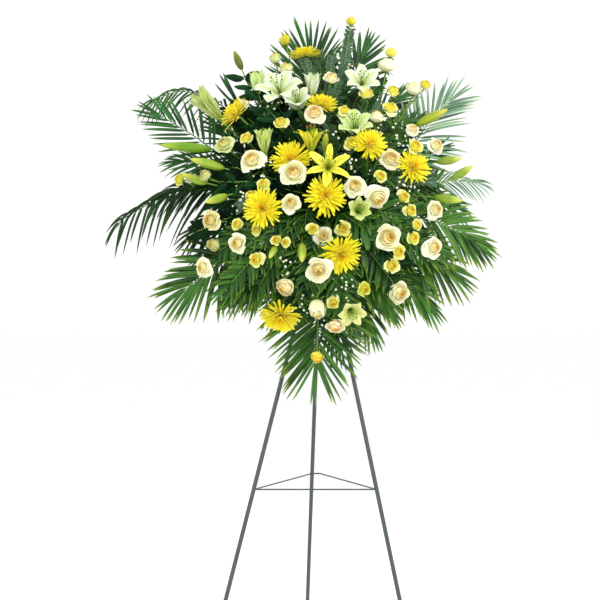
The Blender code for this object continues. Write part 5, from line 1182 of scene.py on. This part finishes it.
def leafy_sprig(pile, hole, low, high, deep, leaf, rng, first, bare=0.35, slot=0, tint=PLAIN):
    """A leafy stem from a stalk, out under the flower heads: pairs of leaves turned by a chance angle round
    it."""
    length, width, pitch, peak, columns, rows = leaf
    start = dome_point(*low, -deep)
    middle = dome_point(*np.mean([low, high], axis=0), -deep)
    end = dome_point(*high, -deep)
    top = stalk_top(hole)
    rise = bezier(top, top + FORWARD * 0.02, start - unit(middle - start) * 0.02, start, 8)
    path = smooth_path([*rise[::2], start, middle, end], np.linspace(0.0, 1.0, SPRIG_STEPS))
    count = 2 * max(2, int(path_length(path) * (1.0 - bare) / pitch))
    number = np.arange(count)
    shares = bare + (1.0 - bare) * number / (count - 1)
    root, ahead, aside, up = stations(path, shares)
    chance = rng.uniform(-1.0, 1.0, (5, count))
    sign = np.where(number % 2 == 0, 1.0, -1.0)
    turn = (sign * 0.35 * chance[0] + np.where(sign > 0, 0.0, math.pi))[:, None]
    away = aside * np.cos(turn) + up * (np.abs(np.sin(turn)) + 0.25)
    spread = np.radians(50.0 + 14.0 * chance[1])[:, None]
    along = unit(ahead * np.cos(spread) + away * np.sin(spread))
    across = unit(np.cross(up, along)) * sign[:, None]
    size = length * (1.0 - 0.35 * (shares - bare)) * (1.0 + 0.18 * chance[2])
    widths = width * (1 + 0.15 * chance[3])
    outline = leaf_outline(np.linspace(0, 1, rows), peak, 0.7)
    grid = leaf_grid(root, along, across, size, widths, outline, 0.12, 0.18, 0.05 * chance[4], 0.05, columns)
    tones = grid_tones(count, rows, columns, shares, rng.uniform(0, 1, count))
    pile.sheets(grid, tones, LEAF_SKIN, slot, tint)
    foot = hole - FORWARD * (HOLE_DEPTH - STALK_GAP) if first else top - FORWARD * BRANCH_OVERLAP
    pile.tube(np.vstack([foot, path]), SPRIG_RADIUS * np.linspace(1.2, 0.5, len(path) + 1), 6, slot=1)


def count_property(name, description, default, least, most):
    """A whole-number property with its limits."""
    return IntProperty(name=name, description=description, default=default, min=least, max=most)


class SpraySizes(bpy.types.PropertyGroup):
    """Sizes and counts that a user would change."""

    rose_petals: count_property("Rose petals", "Petals in each cream rose", 24, 17, 40)
    spray_petals: count_property("Spray rose petals", "Petals in each small rose", 14, 6, 16)
    mum_florets: count_property("Florets", "Florets in each chrysanthemum", 150, 40, 220)
    filler_sprigs: count_property("Filler sprigs", "Dark leafy stems behind the flowers", 60, 0, 90)
    rod_sides: count_property("Rod sides", "Sides of the legs and braces", 32, 8, 64)


def colour_property(name, description, code):
    """A colour property with an sRGB hex default."""
    return FloatVectorProperty(name=name, description=description, subtype="COLOR", size=3, min=0.0, max=1.0,
                               default=linear(code)[:3])


class SprayColours(bpy.types.PropertyGroup):
    """Colours that a user would change."""

    rose: colour_property("Rose", "Outer petals of the cream roses", "#EDEFD0")
    rose_heart: colour_property("Rose heart", "Heart of the cream roses", "#F0C844")
    spray_rose: colour_property("Spray rose", "Petals of the small roses", "#EEEC4A")
    spray_heart: colour_property("Spray rose heart", "Heart of the small roses", "#F4C81A")
    mum: colour_property("Chrysanthemum", "Outer florets", "#F8F01C")
    mum_heart: colour_property("Chrysanthemum heart", "Inner florets", "#F9CB0E")
    lily: colour_property("Lily", "Edges of the tepals", "#DCE7D3")
    bud: colour_property("Lily bud", "Skin of the buds", "#B0C638")
    palm: colour_property("Palm", "Dark green of the fronds", "#0F3418")
    palm_light: colour_property("Palm light", "Light green of the fronds", "#5E9444")
    steel: colour_property("Paint", "Paint of the easel", "#47524F")
    floor: colour_property("Floor", "Floor and backdrop", "#F8F8F8")


def leg_line(spread, reach):
    """A leg's two ends: the point that the legs' lines meet in, and its foot on the floor."""
    return APEX, np.array((APEX[0] + spread, APEX[1] + reach, 0.0))


def leg_point(line, height):
    """The point of a leg's centre line at a height."""
    apex, foot = line
    return apex + (foot - apex) * (apex[2] - height) / apex[2]


class SPRAY_OT_stand(bpy.types.Operator):
    """Legs and brace wires of the easel as round painted rods."""

    bl_idname = "spray.stand"
    bl_label = "Easel rods"

    def execute(self, context):
        sizes, colours = context.scene.spray_sizes, context.scene.spray_colours
        # Painted steel rod, dipped and baked: satin, with a faint orange peel of about 2 mm and small chips
        paint = solid_material("satin painted steel", "#39433F", hue(colours.steel), 500.0, 0.42, 0.0001)
        lines = {
            "leg_left": leg_line(-LEFT_SPREAD, -FRONT_REACH),
            "leg_right": leg_line(RIGHT_SPREAD, -FRONT_REACH),
            "leg_rear": leg_line(REAR_SHIFT, REAR_REACH),
        }
        angle = 2.0 * math.pi * np.arange(sizes.rod_sides) / sizes.rod_sides
        for name, line in lines.items():
            top = leg_point(line, APEX[2] - LEG_TOP_DROP)
            along = unit(line[1] - line[0])
            path = top + (line[1] - top) * np.linspace(0.0, 1.0, LEG_STEPS)[:, None]
            side = unit(np.cross(along, (0.0, 1.0, 0.0)))
            up = np.cross(along, side)
            circle = LEG_RADIUS * (np.cos(angle)[:, None] * side + np.sin(angle)[:, None] * up)
            rings = path[:, None] + circle[None]
            # The last ring slides along the leg onto the floor, where the leg is cut level
            rings[-1] = rings[-1] - along * (rings[-1][:, 2:] / along[2])
            tones = np.full((len(path), sizes.rod_sides, 4), 0.5)
            pile = Pile()
            pile.rings(rings, (rings[0].mean(0), rings[-1].mean(0)), tones)
            pile.finish("rod_" + name, [paint], "painted_steel", [name], room=False)
        left, right, rear = (leg_point(line, BRACE_HEIGHT) for line in lines.values())
        bend = rear + np.array((BRACE_BEND, 0.0, 0.0))
        routes = {
            "brace_front": [left, right],
            "brace_left": [left, rear],
            "brace_right": [right, bend, rear],
        }
        inset = LEG_RADIUS * 0.9
        for name, route in routes.items():
            first = route[0] + unit(route[1] - route[0]) * inset
            last = route[-1] + unit(route[-2] - route[-1]) * inset
            points = np.vstack([first, *route[1:-1], last])
            parts = len(points) - 1
            steps = np.linspace(0, parts, BRACE_STEPS * parts + 1)
            path = np.stack([np.interp(steps, np.arange(parts + 1), points[:, k]) for k in range(3)], -1)
            pile = Pile()
            pile.tube(path, BRACE_RADIUS, 12)
            pile.finish("wire_" + name, [paint], "painted_steel", [name], room=False)
        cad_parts["head_bracket"].data.materials[0] = paint
        return {"FINISHED"}


class SPRAY_OT_foam(bpy.types.Operator):
    """Finishes of the foam block, its tray and the tape."""

    bl_idname = "spray.foam"
    bl_label = "Foam and tray"

    def execute(self, context):
        # Wet floral foam: matte open cells of about 1 mm, dark where it is soaked
        cells = "ShaderNodeTexVoronoi"
        foam = solid_material("wet floral foam", "#16401C", "#2F6B30", 900.0, 0.92, 0.0008, cells)
        # Moulded polypropylene tray: smooth with a fine moulded grain
        tray = solid_material("moulded green polypropylene", "#12301C", "#1C4A2A", 700.0, 0.45, 0.0001)
        # Waterproof cloth tape: waxed weave of about 1 mm
        weave = "ShaderNodeTexChecker"
        tape = solid_material("waxed green tape", "#1A4A26", "#2C6A38", 800.0, 0.5, 0.0002, weave)
        for name, material in (("foam_block", foam), ("foam_tray", tray), ("tape_band", tape)):
            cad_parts[name].data.materials[0] = material
        return {"FINISHED"}


class SPRAY_OT_chrysanthemums(bpy.types.Operator):
    """Yellow spider chrysanthemums on their stems."""

    bl_idname = "spray.chrysanthemums"
    bl_label = "Chrysanthemums"

    def execute(self, context):
        make_blooms(("mum",), context.scene.spray_sizes)
        return {"FINISHED"}


class SPRAY_OT_cream_roses(bpy.types.Operator):
    """Large cream roses on their stems."""

    bl_idname = "spray.cream_roses"
    bl_label = "Cream roses"

    def execute(self, context):
        make_blooms(("rose",), context.scene.spray_sizes)
        return {"FINISHED"}


class SPRAY_OT_spray_roses(bpy.types.Operator):
    """Small golden roses on their branching stems."""

    bl_idname = "spray.spray_roses"
    bl_label = "Spray roses"

    def execute(self, context):
        make_blooms(("spray",), context.scene.spray_sizes)
        return {"FINISHED"}


class SPRAY_OT_lilies(bpy.types.Operator):
    """Lilies and their closed buds."""

    bl_idname = "spray.lilies"
    bl_label = "Lilies and buds"

    def execute(self, context):
        make_blooms(("lily", "bud"), context.scene.spray_sizes)
        return {"FINISHED"}


class SPRAY_OT_fronds(bpy.types.Operator):
    """Palm fronds in a star behind the flowers."""

    bl_idname = "spray.fronds"
    bl_label = "Palm fronds"

    def execute(self, context):
        finish = finishes()
        for name, row in FRONDS.items():
            pile = Pile()
            frond_body(pile, row, np.random.default_rng(seed_of(name)), 1.0)
            leaf = finish["pale palm leaflet" if name in LIT_FRONDS else "palm leaflet"]
            pile.finish("leaf_" + name, [leaf, finish["living stem"]], "palm_leaf", [name])
        return {"FINISHED"}


class SPRAY_OT_foliage(bpy.types.Operator):
    """Variegated foliage, broad dark leaves and the filler behind the flowers, their near-black leaves partly
    painted shade.
    """

    bl_idname = "spray.foliage"
    bl_label = "Foliage"

    def execute(self, context):
        finish = finishes()
        stem = finish["living stem"]
        for name, stems, leaf, key, slot_name, free in (
            ("variegated_foliage", VARIEGATED_STEMS, SMALL_LEAF, "variegated leaf", "soft_leaf", 1),
            ("broad_leaves", BROAD_STEMS, BROAD_LEAF, "dark waxy leaf", "dark_leaf", 0),
        ):
            rng = np.random.default_rng(seed_of(name))
            pile = Pile()
            for number, (low, high, deep) in enumerate(stems):
                place = FREE_HOLES[free], metres(low), metres(high), deep / 1000
                leafy_sprig(pile, *place, leaf, rng, number == 0)
            pile.finish("leaf_" + name, [finish[key], stem], slot_name, [name])
        pile = Pile()
        for number, row in enumerate(FILLER_FRONDS):
            frond_body(pile, row, np.random.default_rng(number), 0.7)
        pile.finish("leaf_filler_fronds", [finish["palm leaflet"], stem], "palm_leaf", [])
        pile = Pile()
        self.add_filler(pile, context.scene.spray_sizes.filler_sprigs)
        pile.finish("leaf_filler", [finish["dark waxy leaf"], stem, finish["palm leaflet"]], "dark_leaf", [])
        return {"FINISHED"}

    def add_filler(self, pile, count):
        """Sprigs over the dome like the seeds of a sunflower: number i of n ends at the golden angle times
        i and at the share sqrt(i/n) of the reach, comes up at 55 % of that and starts beside the nearest
        bunch's stalk."""
        rng = np.random.default_rng(FILLER_SEED)
        centre = np.array(DOME_CENTRE)
        for number in range(count):
            angle = GOLDEN_ANGLE * number
            share = math.sqrt((number + 0.5) / count)
            reach = np.array((FILLER_REACH[0], FILLER_REACH[1 if math.sin(angle) > 0 else 2]))
            high = centre + reach * share * (math.cos(angle), math.sin(angle))
            low = centre + (high - centre) * 0.55
            turn = rng.uniform(-0.5, 0.5)
            high = high + np.array((-math.sin(angle), math.cos(angle))) * 0.08 * turn
            deep = rng.uniform(0.034, 0.070)
            wanted = centre + (low - centre) * 0.3
            hole = min(HOLES.values(), key=lambda place: float(np.linalg.norm(place[:2] - wanted)))
            if high[1] < -0.06 or high[0] > 0.22:
                leaf, slot, tint = LOW_FILLER
            elif high[0] > -0.03 and high[1] > 0.08:
                leaf, slot, tint = TOP_FILLER
            else:
                leaf, slot, tint = SHADE_DARKENED_FILLER
            beside = hole + np.array((0.009, 0.009, 0.0))
            leafy_sprig(pile, beside, low, high, deep, leaf, rng, False, 0.30, slot, tint)


class SPRAY_OT_babys_breath(bpy.types.Operator):
    """Tiny white florets on thin branching stems."""

    bl_idname = "spray.babys_breath"
    bl_label = "Baby's breath"

    def execute(self, context):
        finish = finishes()
        rng = np.random.default_rng(FLORET_SEED)
        pile = Pile()
        petals = 6
        outward, level = round_axes(2.0 * math.pi * np.arange(petals) / petals, 0.45)
        outline = np.array((0.4, 1.0, 0.7))
        for number, (s, t, florets, spread) in enumerate(FLORET_SPRIGS):
            end = dome_point(s / 1000, t / 1000, -0.030)
            axis = unit(end + (0.0, 0.0, AIM_DEPTH))
            add_stem(pile, FREE_HOLES[3], end, axis, 0.0010, number == 0)
            turned = turn_to(axis, rng.uniform(0, math.pi))
            for _ in range(florets):
                angle = rng.uniform(0.0, 2.0 * math.pi)
                out = spread / 1000 * math.sqrt(rng.uniform(0.02, 1.0))
                height = 0.018 + rng.uniform(-0.010, 0.012)
                tip = end + turned @ np.array((out * math.cos(angle), out * math.sin(angle), height))
                bend = end + axis * 0.008 + (tip - end) * 0.3
                pile.tube(bezier(end - axis * 0.01, bend, bend, tip, 4), 0.0004, 3, slot=1, tint="#E8FFC0")
                facing = turn_to(unit(tip - end + axis * 0.01), rng.uniform(0, math.pi))
                along, across = unit(outward) @ facing.T, level @ facing.T
                root = np.tile(tip, (petals, 1))
                grid = leaf_grid(root, along, across, 0.0033, 0.0028, outline, 0.0, -0.15)
                pile.sheets(grid, grid_tones(petals, 3, 3, 1.0, rng.uniform(0, 1)), FLORET_SKIN)
        materials = [finish["baby's breath floret"], finish["living stem"]]
        pile.finish("bloom_babys_breath", materials, "white_floret", ["babys_breath"])
        return {"FINISHED"}


class SPRAY_OT_stage(bpy.types.Operator):
    """Pale floor, soft studio light and the camera."""

    bl_idname = "spray.stage"
    bl_label = "Stage and light"

    def execute(self, context):
        scene = context.scene
        # Seamless paper: matte and even
        paper, tree, shader = start_material("seamless studio paper", Roughness=0.95, Specular_IOR_Level=0.1)
        where = add_node(tree, COORDINATES, None, "Object")
        grain = add_node(tree, NOISE, {"Vector": where, "Scale": 3.0, "Detail": 2.0})
        stops = ((0.3, hue(scene.spray_colours.floor)), (0.7, "#FAFAFA"))
        tree.links.new(add_node(tree, RAMP, {"Fac": grain}, stops=stops), shader.inputs["Base Color"])
        steps = np.linspace(-FLOOR_REACH, FLOOR_REACH, FLOOR_STEPS)
        x, y = np.meshgrid(steps, steps)
        points = np.stack([x.ravel(), y.ravel(), np.zeros(x.size)], -1)
        index = np.arange(x.size).reshape(x.shape)
        quads = np.stack([index[:-1, :-1], index[:-1, 1:], index[1:, 1:], index[1:, :-1]], -1).reshape(-1, 4)
        mesh = bpy.data.meshes.new("studio_floor")
        mesh.from_pydata(points.tolist(), [], quads.tolist())
        mesh.materials.append(paper)
        floor = bpy.data.objects.new("studio_floor", mesh)
        scene.collection.objects.link(floor)
        world = bpy.data.worlds.new("studio")
        world.use_nodes = True
        background = world.node_tree.nodes["Background"]
        background.inputs["Color"].default_value = (1.0, 1.0, 1.0, 1.0)
        background.inputs["Strength"].default_value = WORLD_STRENGTH
        scene.world = world
        for name, place, power, size in LIGHTS:
            light = bpy.data.lights.new(name, "AREA")
            light.energy = power
            light.size = size
            lamp = bpy.data.objects.new(name, light)
            scene.collection.objects.link(lamp)
            lamp.location = place
            aim = Vector(LIGHT_AIM) - Vector(place)
            lamp.rotation_euler = aim.to_track_quat("-Z", "Y").to_euler()
        camera = bpy.data.objects.new("camera", bpy.data.cameras.new("camera"))
        camera.data.sensor_width = CAMERA_SENSOR
        camera.data.lens = CAMERA_LENS
        camera.location = CAMERA_PLACE
        camera.rotation_euler = (math.pi / 2, 0.0, 0.0)
        scene.collection.objects.link(camera)
        scene.camera = camera
        scene.view_settings.view_transform = "Standard"
        scene.view_settings.look = "None"
        return {"FINISHED"}


OPERATORS = (
    SPRAY_OT_stand,
    SPRAY_OT_foam,
    SPRAY_OT_fronds,
    SPRAY_OT_foliage,
    SPRAY_OT_chrysanthemums,
    SPRAY_OT_cream_roses,
    SPRAY_OT_spray_roses,
    SPRAY_OT_lilies,
    SPRAY_OT_babys_breath,
    SPRAY_OT_stage,
)


class SPRAY_PT_panel(bpy.types.Panel):
    """Lists the pieces of the spray with their sizes and colours."""

    bl_label = "Standing spray"
    bl_idname = "SPRAY_PT_panel"
    bl_space_type = "VIEW_3D"
    bl_region_type = "UI"
    bl_category = "Spray"

    def draw(self, context):
        for group in (context.scene.spray_sizes, context.scene.spray_colours):
            for name in group.__annotations__:
                self.layout.prop(group, name)
        for operator in OPERATORS:
            self.layout.operator(operator.bl_idname)


CLASSES = (SpraySizes, SprayColours, *OPERATORS, SPRAY_PT_panel)


def register():
    """Registers the classes and hangs the two groups of properties on the scene."""
    for cls in CLASSES:
        bpy.utils.register_class(cls)
    bpy.types.Scene.spray_sizes = PointerProperty(type=SpraySizes)
    bpy.types.Scene.spray_colours = PointerProperty(type=SprayColours)


def unregister():
    """Undoes register."""
    del bpy.types.Scene.spray_colours
    del bpy.types.Scene.spray_sizes
    for cls in reversed(CLASSES):
        bpy.utils.unregister_class(cls)


def main():
    register()
    for operator in OPERATORS:
        area, name = operator.bl_idname.split(".")
        if getattr(getattr(bpy.ops, area), name)() != {"FINISHED"}:
            raise RuntimeError(f"{operator.bl_label} wasn't finished")


if __name__ == "__main__":
    main()
